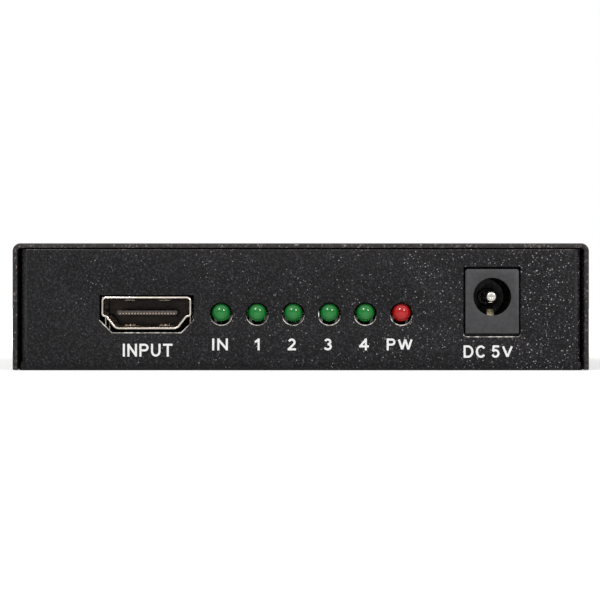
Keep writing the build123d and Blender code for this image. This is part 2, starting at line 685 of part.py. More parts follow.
def voltage_regulator():
    """Regulator with three leads on one side and a wide tab on the other"""
    body = block((-REGULATOR_DEPTH / 2, REGULATOR_DEPTH / 2), (-REGULATOR_WIDTH / 2, REGULATOR_WIDTH / 2),
                 (BODY_GAP, REGULATOR_HEIGHT))
    leads = chip_leads(REGULATOR_DEPTH, REGULATOR_WIDTH, REGULATOR_HEIGHT, REGULATOR_LEAD_COUNT)
    tab = Rot(0, 0, 180) * chip_leads(REGULATOR_DEPTH, REGULATOR_TAB_WIDTH / LEAD_WIDTH_share / LEAD_ROW_share,
                                      REGULATOR_HEIGHT, 1)[0]
    return [board_point(REGULATOR_PLACE_share) * solid for solid in (body, *leads, tab)]


def crystal():
    """Flat can with cut corners"""
    return board_point(CRYSTAL_PLACE_share) * cut_block(CRYSTAL_WIDTH, CRYSTAL_DEPTH, CRYSTAL_HEIGHT,
                                                        CRYSTAL_CORNER)


def bulk_capacitor():
    """Aluminium can on a square base with two corners cut"""
    base = Rectangle(2 * CAN_RADIUS, 2 * CAN_RADIUS)
    base = chamfer(base.vertices().group_by(Axis.Y)[0], CAN_BASE_CORNER)
    base = extrude(base, amount=CAN_BASE_HEIGHT)
    return base + rod(CAN_RADIUS, (0, 0, CAN_BASE_HEIGHT), CAN_HEIGHT)


def power_inductor():
    """Shielded coil: a square block with cut corners"""
    return board_point(COIL_PLACE_share) * cut_block(COIL_SIDE, COIL_SIDE, COIL_HEIGHT, COIL_CORNER)


def chip_grid(size, rows, columns, pitch_share, place_share):
    """Small plain parts in rows and columns round a place on the board"""
    part = Box(*size, align=(Align.CENTER, Align.CENTER, Align.MIN))
    spots = [
        (place_share[0] + (i - (columns - 1) / 2) * pitch_share[0],
         place_share[1] + (j - (rows - 1) / 2) * pitch_share[1])
        for i in range(columns)
        for j in range(rows)
    ]
    return [board_point(spot) * part for spot in spots]


def all_parts():
    """Every sub-part under its name"""
    parts = {
        "base_tray": base_tray(),
        "top_cover": top_cover(),
        "cover_screws": cover_screws(),
        "board_standoffs": board_standoffs(),
        "main_board": main_board(),
    }
    shell, insulator, contacts = socket_shell(), socket_insulator(), socket_contacts()
    for name, place in socket_places():
        parts[f"{name}_shell"] = place * shell
        parts[f"{name}_insulator"] = place * insulator
        parts[f"{name}_contacts"] = Compound(children=[place * piece for piece in contacts])
    lens = led_body()
    for name, place in zip(LED_NAMES, led_places()):
        parts[name] = place * lens
    parts["led_leads"] = Compound(children=led_leads())
    jack = jack_place()
    parts["power_jack_housing"] = jack * jack_housing()
    parts["power_jack_pin"] = jack * jack_pin()
    parts["power_jack_rear_terminal"] = jack * jack_rear_terminal()
    parts["power_jack_sleeve_terminal"] = jack * jack_sleeve_terminal()
    parts["power_jack_shunt_terminal"] = jack * jack_shunt_terminal()
    parts["power_jack_spring"] = jack * jack_leaf()
    parts["splitter_chip"] = splitter_chip()
    parts["memory_chip"] = Compound(children=memory_chip())
    parts["voltage_regulator"] = Compound(children=voltage_regulator())
    parts["crystal"] = crystal()
    can = bulk_capacitor()
    parts["bulk_capacitors"] = Compound(children=[board_point(spot) * can for spot in CAN_PLACES_share])
    parts["power_inductor"] = power_inductor()
    parts["ceramic_capacitors"] = Compound(children=chip_grid(
        CERAMIC_SIZE, CERAMIC_ROW_COUNT, CERAMIC_COLUMN_COUNT, CERAMIC_PITCH_share, CERAMIC_PLACE_share))
    parts["chip_resistors"] = Compound(children=chip_grid(
        RESISTOR_SIZE, RESISTOR_ROW_COUNT, RESISTOR_COLUMN_COUNT, RESISTOR_PITCH_share, RESISTOR_PLACE_share))
    return parts


os.makedirs("parts", exist_ok=True)
for part_name, part_shape in all_parts().items():
    export_step(part_shape, f"parts/{part_name}.step")
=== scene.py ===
"""HDMI splitter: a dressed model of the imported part, laid out as an add-on and run as a script."""
import math

import bmesh
import bpy
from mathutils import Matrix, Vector


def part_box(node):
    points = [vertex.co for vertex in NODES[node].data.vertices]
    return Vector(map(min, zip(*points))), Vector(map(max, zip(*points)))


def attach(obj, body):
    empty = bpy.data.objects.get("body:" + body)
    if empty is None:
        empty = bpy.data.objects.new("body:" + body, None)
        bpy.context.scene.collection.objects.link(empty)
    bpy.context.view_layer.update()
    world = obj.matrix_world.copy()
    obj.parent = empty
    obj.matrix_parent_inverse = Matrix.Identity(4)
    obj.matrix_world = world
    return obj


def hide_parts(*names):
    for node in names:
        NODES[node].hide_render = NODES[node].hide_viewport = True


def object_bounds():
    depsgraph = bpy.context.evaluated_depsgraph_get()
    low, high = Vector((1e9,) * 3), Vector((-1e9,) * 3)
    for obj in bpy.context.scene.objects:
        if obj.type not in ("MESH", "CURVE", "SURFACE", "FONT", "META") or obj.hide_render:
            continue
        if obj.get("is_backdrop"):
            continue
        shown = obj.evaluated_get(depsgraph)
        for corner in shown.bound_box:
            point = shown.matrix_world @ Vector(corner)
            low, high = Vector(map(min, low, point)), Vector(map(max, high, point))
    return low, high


bl_info = {
    "name": "HDMI splitter",
    "version": (1, 0, 0),
    "blender": (4, 5, 0),
    "location": "View3D > Sidebar > Splitter",
    "description": "Dresses the packed parts of a one-in four-out HDMI splitter",
    "category": "Object",
}

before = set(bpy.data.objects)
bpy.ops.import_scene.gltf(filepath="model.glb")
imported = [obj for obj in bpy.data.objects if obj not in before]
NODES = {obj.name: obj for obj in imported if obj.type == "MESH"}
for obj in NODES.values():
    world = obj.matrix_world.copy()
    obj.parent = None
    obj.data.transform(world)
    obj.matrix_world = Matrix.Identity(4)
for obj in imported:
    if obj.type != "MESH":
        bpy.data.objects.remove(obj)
CAD_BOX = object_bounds()
MM = 0.001
CASE_BODY = "case"
LEAF_BODY = "sleeve_contact"
OUTPUT_NAMES = ("output_1", "output_2", "output_3", "output_4")
SOCKET_NAMES = ("input", *OUTPUT_NAMES)
GREEN_LAMPS = ("led_input", "led_1", "led_2", "led_3", "led_4")
RED_LAMP = "led_power"
TRAY_LOW, TRAY_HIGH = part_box("base_tray")
FRONT, BACK, TRAY_TOP = TRAY_LOW.y, TRAY_HIGH.y, TRAY_HIGH.z
BOARD_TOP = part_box("main_board")[1].z
SCREWS_LOW, SCREWS_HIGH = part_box("cover_screws")
HEAD_RADIUS = (SCREWS_HIGH.z - SCREWS_LOW.z) / 2
HEAD_PLACES = [(x, y, SCREWS_LOW.z + HEAD_RADIUS) for x in (SCREWS_LOW.x, SCREWS_HIGH.x)
               for y in (SCREWS_LOW.y + HEAD_RADIUS, SCREWS_HIGH.y - HEAD_RADIUS)]
# Vertices closer than this are one, and faces within this angle are flat together
MERGE, FLAT = MM / 10000, math.radians(0.5)
# Distances within which a place counts as on an edge, and as beside it
HAIR, NEAR = 0.01 * MM, 0.05 * MM
# Parts of a face's normal along an axis: enough to be tilted that way, to face it and to be square to it
TILTED, FACING, SQUARE = 0.1, 0.9, 0.98


def linear(hex_text):
    """Linear colour of an sRGB hex value"""
    channels = [int(hex_text[i : i + 2], 16) / 255 for i in (1, 3, 5)]
    lit = [c / 12.92 if c <= 0.04045 else ((c + 0.055) / 1.055) ** 2.4 for c in channels]
    return (*lit, 1.0)


def toned(colour, share, white=0.0):
    """A colour made darker or paler, with some white in it"""
    return (*[c * share + white for c in colour[:3]], 1.0)


def per(millimetres):
    """Scale of a pattern whose grains are about as large as given"""
    return 1 / (millimetres * MM)


def node(tree, kind, inputs=None, stops=(), to=None, **settings):
    """Adds a shader node with its settings and links, and gives its outputs"""
    made = tree.nodes.new("ShaderNode" + kind)
    for name, value in settings.items():
        setattr(made, name, value)
    for name, value in (inputs or {}).items():
        if isinstance(value, bpy.types.NodeSocket):
            tree.links.new(value, made.inputs[name])
        else:
            made.inputs[name].default_value = value
    for index, (place, colour) in enumerate(stops):
        if index > 1:
            made.color_ramp.elements.new(place)
        made.color_ramp.elements[index].position = place
        made.color_ramp.elements[index].color = colour
    if to is not None:
        tree.links.new(made.outputs[0], to)
    return made.outputs


def new_material(name, **surface):
    """Material with a Principled shader, whose sockets are set by name, and the object's coordinates"""
    material = bpy.data.materials.new(name)
    material.use_nodes = True
    tree = material.node_tree
    shader = tree.nodes["Principled BSDF"]
    for socket, value in surface.items():
        shader.inputs[socket.replace("_", " ")].default_value = value
    return material, tree, shader.inputs, node(tree, "TexCoord")


def powder_coat():
    """Black textured powder coat on sheet steel.

    Baked from powder, it flows to small round grains: a matte black, peppered with dim glints that are
    painted highlights in its colour.
    """
    # Real grains are near 0.1 mm. They are drawn at 0.2 to 0.4 mm, so that they still show at a step away
    colour = bpy.context.scene.splitter_case.coat_colour
    material, tree, surface, place = new_material("black_textured_powder_coat", Specular_IOR_Level=0.24)
    at = place["Object"]
    grains = node(tree, "TexNoise", {"Vector": at, "Scale": per(0.28), "Detail": 2.0})["Fac"]
    cloud = node(tree, "TexNoise", {"Vector": at, "Scale": per(7), "Detail": 3.0})["Fac"]
    dots = node(tree, "TexVoronoi", {"Vector": at, "Scale": per(0.32)})
    dot = node(tree, "MapRange", {"Value": dots["Distance"], "From Min": 0.1, "From Max": 0.5,
                                  "To Min": 1.0, "To Max": 0.0})["Result"]
    # Painted light: the painted glints grow denser towards the right, where the lamp at the upper right
    # falls
    right = node(tree, "SeparateXYZ", {0: at})["X"]
    uneven = node(tree, "Math", {0: cloud, 1: 0.7, 2: dots["Color"]}, operation="MULTIPLY_ADD")[0]
    glint_density_painted_from_right = node(tree, "Math", {0: right, 1: 4.5, 2: uneven}, operation="MULTIPLY_ADD")[0]
    chosen = node(tree, "MapRange", {"Value": glint_density_painted_from_right, "From Min": 0.35, "From Max": 1.5})["Result"]
    few = node(tree, "Math", {0: chosen, 1: 2.2}, operation="POWER")[0]
    painted_glint = node(tree, "Math", {0: dot, 1: few}, operation="MULTIPLY")[0]
    grains_and_painted_glints = node(tree, "Math", {0: painted_glint, 1: 0.8, 2: grains}, operation="MULTIPLY_ADD")[0]
    # Painted highlights: the glints lighten the grains' colour up to a pale grey
    shades = [(0.36, toned(colour, 0.15)), (0.5, toned(colour, 0.8)), (0.62, toned(colour, 3.2)),
              (0.78, toned(colour, 9)), (1.0, linear("#b0a9aa"))]
    node(tree, "ValToRGB", {"Fac": grains_and_painted_glints}, shades, to=surface["Base Color"])
    node(tree, "MapRange", {"Value": grains, "From Min": 0.3, "From Max": 0.7, "To Min": 0.42,
                            "To Max": 0.62}, to=surface["Roughness"])
    height = node(tree, "Math", {0: grains, 1: painted_glint}, operation="ADD")[0]
    node(tree, "Bump", {"Height": height, "Distance": 0.03 * MM}, to=surface["Normal"])
    return material


def spotted_edge_coat_and_highlight(name, spot, shades):
    """The coat at an edge, pale in spots: a painted highlight along edges lit from above, and the starved
    coat on the cover's cut ends
    """
    material, tree, surface, place = new_material(name, Roughness=0.4)
    spots = node(tree, "TexNoise", {"Vector": place["Object"], "Scale": per(spot), "Detail": 3.0})["Fac"]
    node(tree, "ValToRGB", {"Fac": spots}, shades, to=surface["Base Color"])
    node(tree, "Bump", {"Height": spots, "Distance": 0.02 * MM}, to=surface["Normal"])
    return material


def punched_edge_painted_highlight():
    """Painted highlight along the lower side of the round punched holes, where light from above falls on the
    rounded edge: a pale broken line
    """
    shades = [(0.36, linear("#5a5755")), (0.5, linear("#b3aea8")), (0.6, linear("#eae5dd"))]
    return spotted_edge_coat_and_highlight("painted_highlight_at_punched_hole_edges", 0.9, shades)


def cut_edge_coat_and_painted_highlight():
    """Along cut edges the coat is only starved: a brownish grey with small pale dots. On the panel's top
    edge, which faces up to the lamps, it is also a painted highlight
    """
    shades = [(0.4, linear("#130e0d")), (0.52, linear("#211a18")), (0.62, linear("#3c3431")),
              (0.72, linear("#8b817c"))]
    return spotted_edge_coat_and_highlight("starved_coat_and_painted_highlight_at_cut_edges", 0.4, shades)


def plated(name, colour, roughness, cloud_size, wander=0.08):
    """Plating on sheet or turned metal, whose gloss wanders a little from spot to spot"""
    material, tree, surface, place = new_material(name, Metallic=1.0, Base_Color=linear(colour))
    at = place["Object"]
    cloud = node(tree, "TexNoise", {"Vector": at, "Scale": per(cloud_size), "Detail": 3.0})["Fac"]
    node(tree, "MapRange", {"Value": cloud, "From Min": 0.3, "From Max": 0.7, "To Min": roughness - wander,
                            "To Max": roughness + wander}, to=surface["Roughness"])
    dents = node(tree, "TexNoise", {"Vector": at, "Scale": per(cloud_size / 3), "Detail": 2.0})["Fac"]
    node(tree, "Bump", {"Height": dents, "Distance": 0.004 * MM}, to=surface["Normal"])
    return material


def moulded(name, colour, roughness, spark, level=0.4):
    """Moulded or fired stuff with the fine, even skin of its mould, in sparks of the given size"""
    material, tree, surface, place = new_material(name, Specular_IOR_Level=level)
    at, shade = place["Object"], linear(colour)
    flow = node(tree, "TexNoise", {"Vector": at, "Scale": per(0.7), "Detail": 4.0})["Fac"]
    tones = [(0.3, toned(shade, 0.8)), (0.7, toned(shade, 1.2))]
    node(tree, "ValToRGB", {"Fac": flow}, tones, to=surface["Base Color"])
    skin = node(tree, "TexNoise", {"Vector": at, "Scale": per(spark), "Detail": 2.0})["Fac"]
    node(tree, "MapRange", {"Value": skin, "From Min": 0.3, "From Max": 0.7, "To Min": roughness - 0.08,
                            "To Max": roughness + 0.08}, to=surface["Roughness"])
    node(tree, "Bump", {"Height": skin, "Distance": 0.014 * MM}, to=surface["Normal"])
    return material


def black_zinc():
    """Black zinc on steel screws: a dark metal with a dull, slightly brown shine"""
    return plated("black_zinc_plated_steel", "#3a3836", 0.34, 1.2)


def nickel_sheet():
    """Bright nickel on stamped sheet: a warm mirror, clouded a little where the press drew the metal"""
    return plated("nickel_plated_brass_sheet", "#f4eadf", 0.2, 1.2)


def socket_polymer():
    """Liquid crystal polymer: a dull brownish black that looks grey where light strikes an end"""
    return moulded("black_liquid_crystal_polymer", "#464040", 0.5, 0.25)


def gold_flash():
    """Thin gold over phosphor bronze: a pale warm shine, never deep yellow"""
    return plated("gold_flashed_bronze", "#dcc8a6", 0.24, 0.5)


def lamp_epoxy(name, colour):
    """Cast epoxy of a lamp: a glassy skin over a tint, with painted shade at the rim and painted light on
    its lower front, which faces the lit floor
    """
    material, tree, surface, place = new_material(name, IOR=1.55)
    # Painted light: the lens is painted paler where it faces front and a little down, towards the lit floor,
    # and darker towards the rim
    way = (0.0, -0.93, -0.36)
    painted_floor_glow = node(tree, "VectorMath", {0: place["Normal"], 1: way}, operation="DOT_PRODUCT")["Value"]
    tones = [(0.08, toned(colour, 0.12)), (0.32, toned(colour, 0.7)), (0.6, toned(colour, 1.05)),
             (0.86, toned(colour, 0.95)), (0.99, toned(colour, 1.2, 0.014))]
    node(tree, "ValToRGB", {"Fac": painted_floor_glow}, tones, to=surface["Base Color"])
    cast = node(tree, "TexNoise", {"Vector": place["Object"], "Scale": per(0.8), "Detail": 2.0})["Fac"]
    node(tree, "MapRange", {"Value": cast, "To Min": 0.05, "To Max": 0.14}, to=surface["Roughness"])
    return material


def jack_nylon():
    """Black glass-filled nylon: dark grey to the eye, because its spark-eroded skin scatters the light"""
    return moulded("black_moulded_nylon", "#3c3b3d", 0.5, 0.3)


def polished_bore_nylon_painted_shade():
    """The same nylon down the bore, where the mould's polished core leaves it glossy; its nearly black
    colour is painted shade inside the bore
    """
    return moulded("black_nylon_polished_bore_painted_shade", "#100d0d", 0.32, 0.6, 0.25)


def pin_nickel():
    """Nickel on a turned pin: smooth, with a bright tip"""
    return plated("nickel_plated_turned_brass", "#f0ece2", 0.24, 0.8, 0.05)


def leaf_bronze():
    """Spring bronze with a thin bright plate, yellowish where it is worn"""
    return plated("plated_spring_bronze", "#fbf1cc", 0.34, 0.7, 0.06)


def solder_mask():
    """Black solder mask over copper: a dark lacquer in which the tracks stand out as faint ridges"""
    # Real tracks are 0.2 mm wide and 0.4 mm apart. They are drawn 1.4 mm apart, so that they show
    material, tree, surface, place = new_material(
        "black_solder_mask", Roughness=0.35, Specular_IOR_Level=0.4)
    flat = node(tree, "Mapping", {"Vector": place["Object"], "Scale": (1, 1, 0)})["Vector"]
    tracks = node(tree, "TexVoronoi", {"Vector": flat, "Scale": per(1.4), "Randomness": 0.6},
                  distance="CHEBYCHEV", feature="DISTANCE_TO_EDGE")["Distance"]
    tones = [(0.06, linear("#1d211f")), (0.1, linear("#0d100f"))]
    node(tree, "ValToRGB", {"Fac": tracks}, tones, to=surface["Base Color"])
    ridge = node(tree, "MapRange", {"Value": tracks, "From Min": 0.06, "From Max": 0.1, "To Min": 1.0,
                                    "To Max": 0.0})["Result"]
    node(tree, "Bump", {"Height": ridge, "Distance": 0.03 * MM}, to=surface["Normal"])
    return material


def bright_zinc():
    """Bright zinc on standoffs and their screws: a cool, slightly milky shine"""
    return plated("bright_zinc_plated_steel", "#c3c4c5", 0.3, 1.5)


def tin():
    """Tin on bronze leads: pale and soft, with the dull bloom of dipped solder"""
    return plated("tinned_bronze", "#c9c9c4", 0.36, 0.8)


def chip_epoxy():
    """Black epoxy that chips are moulded in: charcoal, with a fine sandy skin"""
    return moulded("black_epoxy_moulding", "#232325", 0.55, 0.2)


def can_aluminium():
    """Drawn aluminium of the capacitors' cans: a pale grey satin shine"""
    return plated("drawn_aluminium_can", "#cfcfd0", 0.38, 2.0)


def ferrite():
    """Pressed ferrite: dull dark grey like slate"""
    return moulded("pressed_ferrite", "#3a3a3c", 0.7, 0.35)


def barium_titanate():
    """Fired barium titanate of the small capacitors: tan, like unglazed pottery"""
    return moulded("fired_barium_titanate", "#a98f6f", 0.5, 0.15)


def screen_ink():
    """White screen-printed enamel: opaque and matte, thin enough to take the grains of the coat below"""
    colour = bpy.context.scene.splitter_legends.ink_colour
    material, tree, surface, place = new_material("white_screen_ink", Roughness=0.55)
    grains = node(tree, "TexNoise", {"Vector": place["Object"], "Scale": per(0.3), "Detail": 3.0})["Fac"]
    tones = [(0.3, toned(colour, 0.86)), (0.48, tuple(colour))]
    node(tree, "ValToRGB", {"Fac": grains}, tones, to=surface["Base Color"])
    node(tree, "Bump", {"Height": grains, "Distance": 0.015 * MM}, to=surface["Normal"])
    return material


def paper():
    """Pale matte paper that keeps the shadow near the case, and is plain white to the eye farther out"""
    material, tree, surface, place = new_material("pale_matte_paper", Roughness=0.8, Specular_IOR_Level=0.2)
    at = place["Object"]
    fibres = node(tree, "TexNoise", {"Vector": at, "Scale": per(3), "Detail": 2.0})["Fac"]
    tones = [(0.3, linear("#f4f4f3")), (0.7, linear("#f9f9f8"))]
    node(tree, "ValToRGB", {"Fac": fibres}, tones, to=surface["Base Color"])
    away = node(tree, "VectorMath", {0: at}, operation="LENGTH")["Value"]
    far = node(tree, "MapRange", {"Value": away, "From Min": 60 * MM, "From Max": 150 * MM})["Result"]
    rays = node(tree, "LightPath")
    lift = node(tree, "MapRange", {"Value": far, "To Min": 0.4, "To Max": 1.0})["Result"]
    plain = node(tree, "Math", {0: lift, 1: rays["Is Camera Ray"]}, operation="MULTIPLY")[0]
    white = node(tree, "Emission", {"Color": (1, 1, 1, 1), "Strength": plain})["Emission"]
    own = tree.nodes["Principled BSDF"].outputs["BSDF"]
    node(tree, "AddShader", {0: own, 1: white}, to=tree.nodes["Material Output"].inputs["Surface"])
    return material


def deselect():
    """Nothing selected"""
    bpy.ops.object.select_all(action="DESELECT")


def activate(piece):
    """One piece selected and active"""
    deselect()
    piece.select_set(True)
    bpy.context.view_layer.objects.active = piece


def placed(piece):
    """A piece with its place, turn and scale moved into its mesh"""
    activate(piece)
    bpy.ops.object.transform_apply(location=True, rotation=True, scale=True)
    return piece


def named(name):
    """The active piece under its name, with its place in its mesh"""
    piece = bpy.context.object
    piece.name = piece.data.name = name
    return placed(piece)


def block(name, place, size, turn=0):
    """Block at its size and place, turned about Y"""
    deselect()
    bpy.ops.mesh.primitive_cube_add(size=1, location=place, scale=size, rotation=(0, turn, 0))
    return named(name)


def copied(name, source, place=(0, 0, 0), turn=0):
    """Copy of a piece with its own mesh, at a place and turned about Z"""
    piece = bpy.data.objects.new(name, source.data.copy())
    bpy.context.collection.objects.link(piece)
    piece.location = place
    piece.rotation_euler.z = turn
    return piece


def edit(piece, mode="VERT", action="DESELECT"):
    """Edit mode on one piece, with nothing or everything selected"""
    activate(piece)
    bpy.ops.object.mode_set(mode="EDIT")
    bpy.ops.mesh.select_mode(type=mode)
    bpy.ops.mesh.select_all(action=action)


def middle(element):
    """Middle of a vertex, an edge or a face"""
    if hasattr(element, "co"):
        return element.co
    return sum((v.co for v in element.verts), Vector()) / len(element.verts)


def pick(piece, wanted, mode="VERT"):
    """Selects, in edit mode, what the test wants: it is given a middle and, for a face, its normal"""
    bpy.ops.mesh.select_mode(type=mode)
    bpy.ops.mesh.select_all(action="DESELECT")
    mesh = bmesh.from_edit_mesh(piece.data)
    for element in {"VERT": mesh.verts, "EDGE": mesh.edges, "FACE": mesh.faces}[mode]:
        given = (middle(element), element.normal) if mode == "FACE" else (middle(element),)
        if wanted(*given):
            element.select_set(True)
    mesh.select_flush_mode()
    bmesh.update_edit_mesh(piece.data)


def leave():
    """Back to object mode"""
    bpy.ops.object.mode_set(mode="OBJECT")


def extrude(back, up=0):
    """What is selected pulled out along Y and Z"""
    bpy.ops.mesh.extrude_region_move(TRANSFORM_OT_translate={"value": (0, back, up)})


def modify(piece, kind, **settings):
    """A modifier, applied"""
    activate(piece)
    modifier = piece.modifiers.new(kind.title(), kind)
    for name, value in settings.items():
        setattr(modifier, name, value)
    bpy.ops.object.modifier_apply(modifier=modifier.name)


def rounded(piece, width, segments=2, angle=35):
    """Sharp edges rounded by a bevel"""
    modify(piece, "BEVEL", width=width, segments=segments, limit_method="ANGLE",
           angle_limit=math.radians(angle), use_clamp_overlap=True, miter_outer="MITER_ARC")


def joined(pieces, name):
    """Several pieces as one"""
    activate(pieces[0])
    for piece in pieces:
        piece.select_set(True)
    bpy.ops.object.join()
    return named(name)


def cut_away(piece, cutters, **settings):
    """The shapes of the cutters taken out of a piece"""
    cutter = joined(cutters, "cutter")
    modify(piece, "BOOLEAN", operation="DIFFERENCE", solver="EXACT", object=cutter, **settings)
    bpy.data.objects.remove(cutter)


def finished(piece, material, slot, *replaced, body=CASE_BODY, angle=30):
    """Place applied, shading, material, body, and the nodes it stands for hidden; the slot is not used"""
    placed(piece)
    bpy.ops.object.shade_smooth_by_angle(angle=math.radians(angle))
    piece.data.materials.clear()
    piece.data.materials.append(material)
    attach(piece, body)
    if replaced:
        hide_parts(*replaced)


def lay(piece, material, wanted):
    """Another material laid on the faces that the test picks"""
    piece.data.materials.append(material)
    edit(piece)
    pick(piece, wanted, "FACE")
    piece.active_material_index = len(piece.data.materials) - 1
    bpy.ops.object.material_slot_assign()
    leave()


def copy_of(name, source, seam=None):
    """Copy of a CAD node's mesh, its loose triangles merged to clean faces that end at the seams"""
    piece = copied(name, NODES[source])
    edit(piece, action="SELECT")
    bpy.ops.mesh.remove_doubles(threshold=MERGE)
    if seam:
        seam(piece)
    bpy.ops.mesh.select_all(action="SELECT")
    bpy.ops.mesh.dissolve_limited(angle_limit=FLAT, delimit={"SEAM"})
    leave()
    return piece


def outward(piece):
    """Doubles merged, then faces turned outwards"""
    edit(piece, action="SELECT")
    bpy.ops.mesh.remove_doubles(threshold=MERGE)
    bpy.ops.mesh.normals_make_consistent(inside=False)
    leave()


def span(name, description, size):
    """A length that a user may change, given in millimetres"""
    return bpy.props.FloatProperty(name=name, description=description, default=size * MM, subtype="DISTANCE",
                                   unit="LENGTH", precision=5)


def tint(name, description, hex_text):
    """A colour that a user may change"""
    return bpy.props.FloatVectorProperty(name=name, description=description, default=linear(hex_text),
                                         subtype="COLOR", size=4, min=0, max=1)


class CaseSettings(bpy.types.PropertyGroup):
    """Sizes and colour of the case's finish"""
    edge_round: span("Edge round", "Width of the coat's round over the sheet's cut edges", 0.14)
    lip_cover: span("Lip cover", "How far an output's lip covers the edge of its hole", 0.09)
    coat_colour: tint("Coat colour", "Colour of the powder coat", "#111012")


class SocketSettings(bpy.types.PropertyGroup):
    """Sizes of the sockets' pressed shells"""
    mouth_width: span("Mouth width", "Width of the mouth", 14)
    mouth_height: span("Mouth height", "Height of the mouth", 4.5)
    side_height: span("Side height", "Height of the upright sides", 2.6)
    shoulder: span("Shoulder", "Width of the step below each side", 0.55)
    foot_width: span("Foot width", "Width of the mouth's lower side", 9.8)
    sheet: span("Sheet", "Thickness of the shell", 0.3)
    flare: span("Flare", "How far the lip opens on each side", 0.225)
    corner: span("Corner", "Radius of the shell's bends", 0.42)
    lip_depth: span("Lip depth", "Depth over which the lip opens", 1.1)
    tongue_chamfer: span("Tongue chamfer", "Chamfer of the tongue's lower corners", 0.3)
    contact_pitch: span("Contact pitch", "Spacing of the contacts' ends", 0.5)


class LampSettings(bpy.types.PropertyGroup):
    """Colours and fineness of the lamps"""
    green: tint("Green", "Colour of the signal lamps' epoxy", "#04772a")
    red: tint("Red", "Colour of the power lamp's epoxy", "#b20304")
    rings: bpy.props.IntProperty(
        name="Rings", description="Rings of faces over each dome", default=16, min=8, max=48)


class JackSettings(bpy.types.PropertyGroup):
    """Sizes of the power jack's finish"""
    edge_round: span("Edge round", "Round of the moulding's edges", 0.15)
    bore: span("Bore", "Radius within which the moulding is polished", 3.25)
    pin_tip: span("Pin tip", "Round of the pin's tip", 0.6)
    pin_mark: span("Pin mark", "Radius of the lathe's mark in the pin's tip", 0.22)
    crown: span("Leaf crown", "How far the leaf's edges are rolled", 0.08)


class LegendSettings(bpy.types.PropertyGroup):
    """Sizes and colour of the printed marks"""
    ink_colour: tint("Ink colour", "Colour of the printed marks", "#f2f2f1")
    ink_depth: span("Ink depth", "Thickness of the printed ink", 0.02)
    stroke: span("Stroke", "Width of the letters' strokes", 0.345)


class StageSettings(bpy.types.PropertyGroup):
    """Camera, floor and lamps"""
    distance: span("Camera distance", "From the camera to the front panel", 275)
    height: span("Camera height", "Height of the camera over the floor", 11.75)
    side: span("Camera side", "Camera to the right of the case's middle", -0.13)
    lens: bpy.props.FloatProperty(
        name="Lens", description="Focal length in millimetres", default=99.1, min=10,
        subtype="DISTANCE_CAMERA", unit="CAMERA")
    key_power: bpy.props.FloatProperty(
        name="Key power", description="Power of the lamp at the upper left", default=1.9, min=0,
        subtype="POWER", unit="POWER")
    key_size: span("Key size", "Side of the lamp at the upper left", 200)
    fill_power: bpy.props.FloatProperty(
        name="Fill power", description="Power of the lamp at the upper right", default=1.5, min=0,
        subtype="POWER", unit="POWER")
    fill_size: span("Fill size", "Side of the lamp at the upper right", 170)


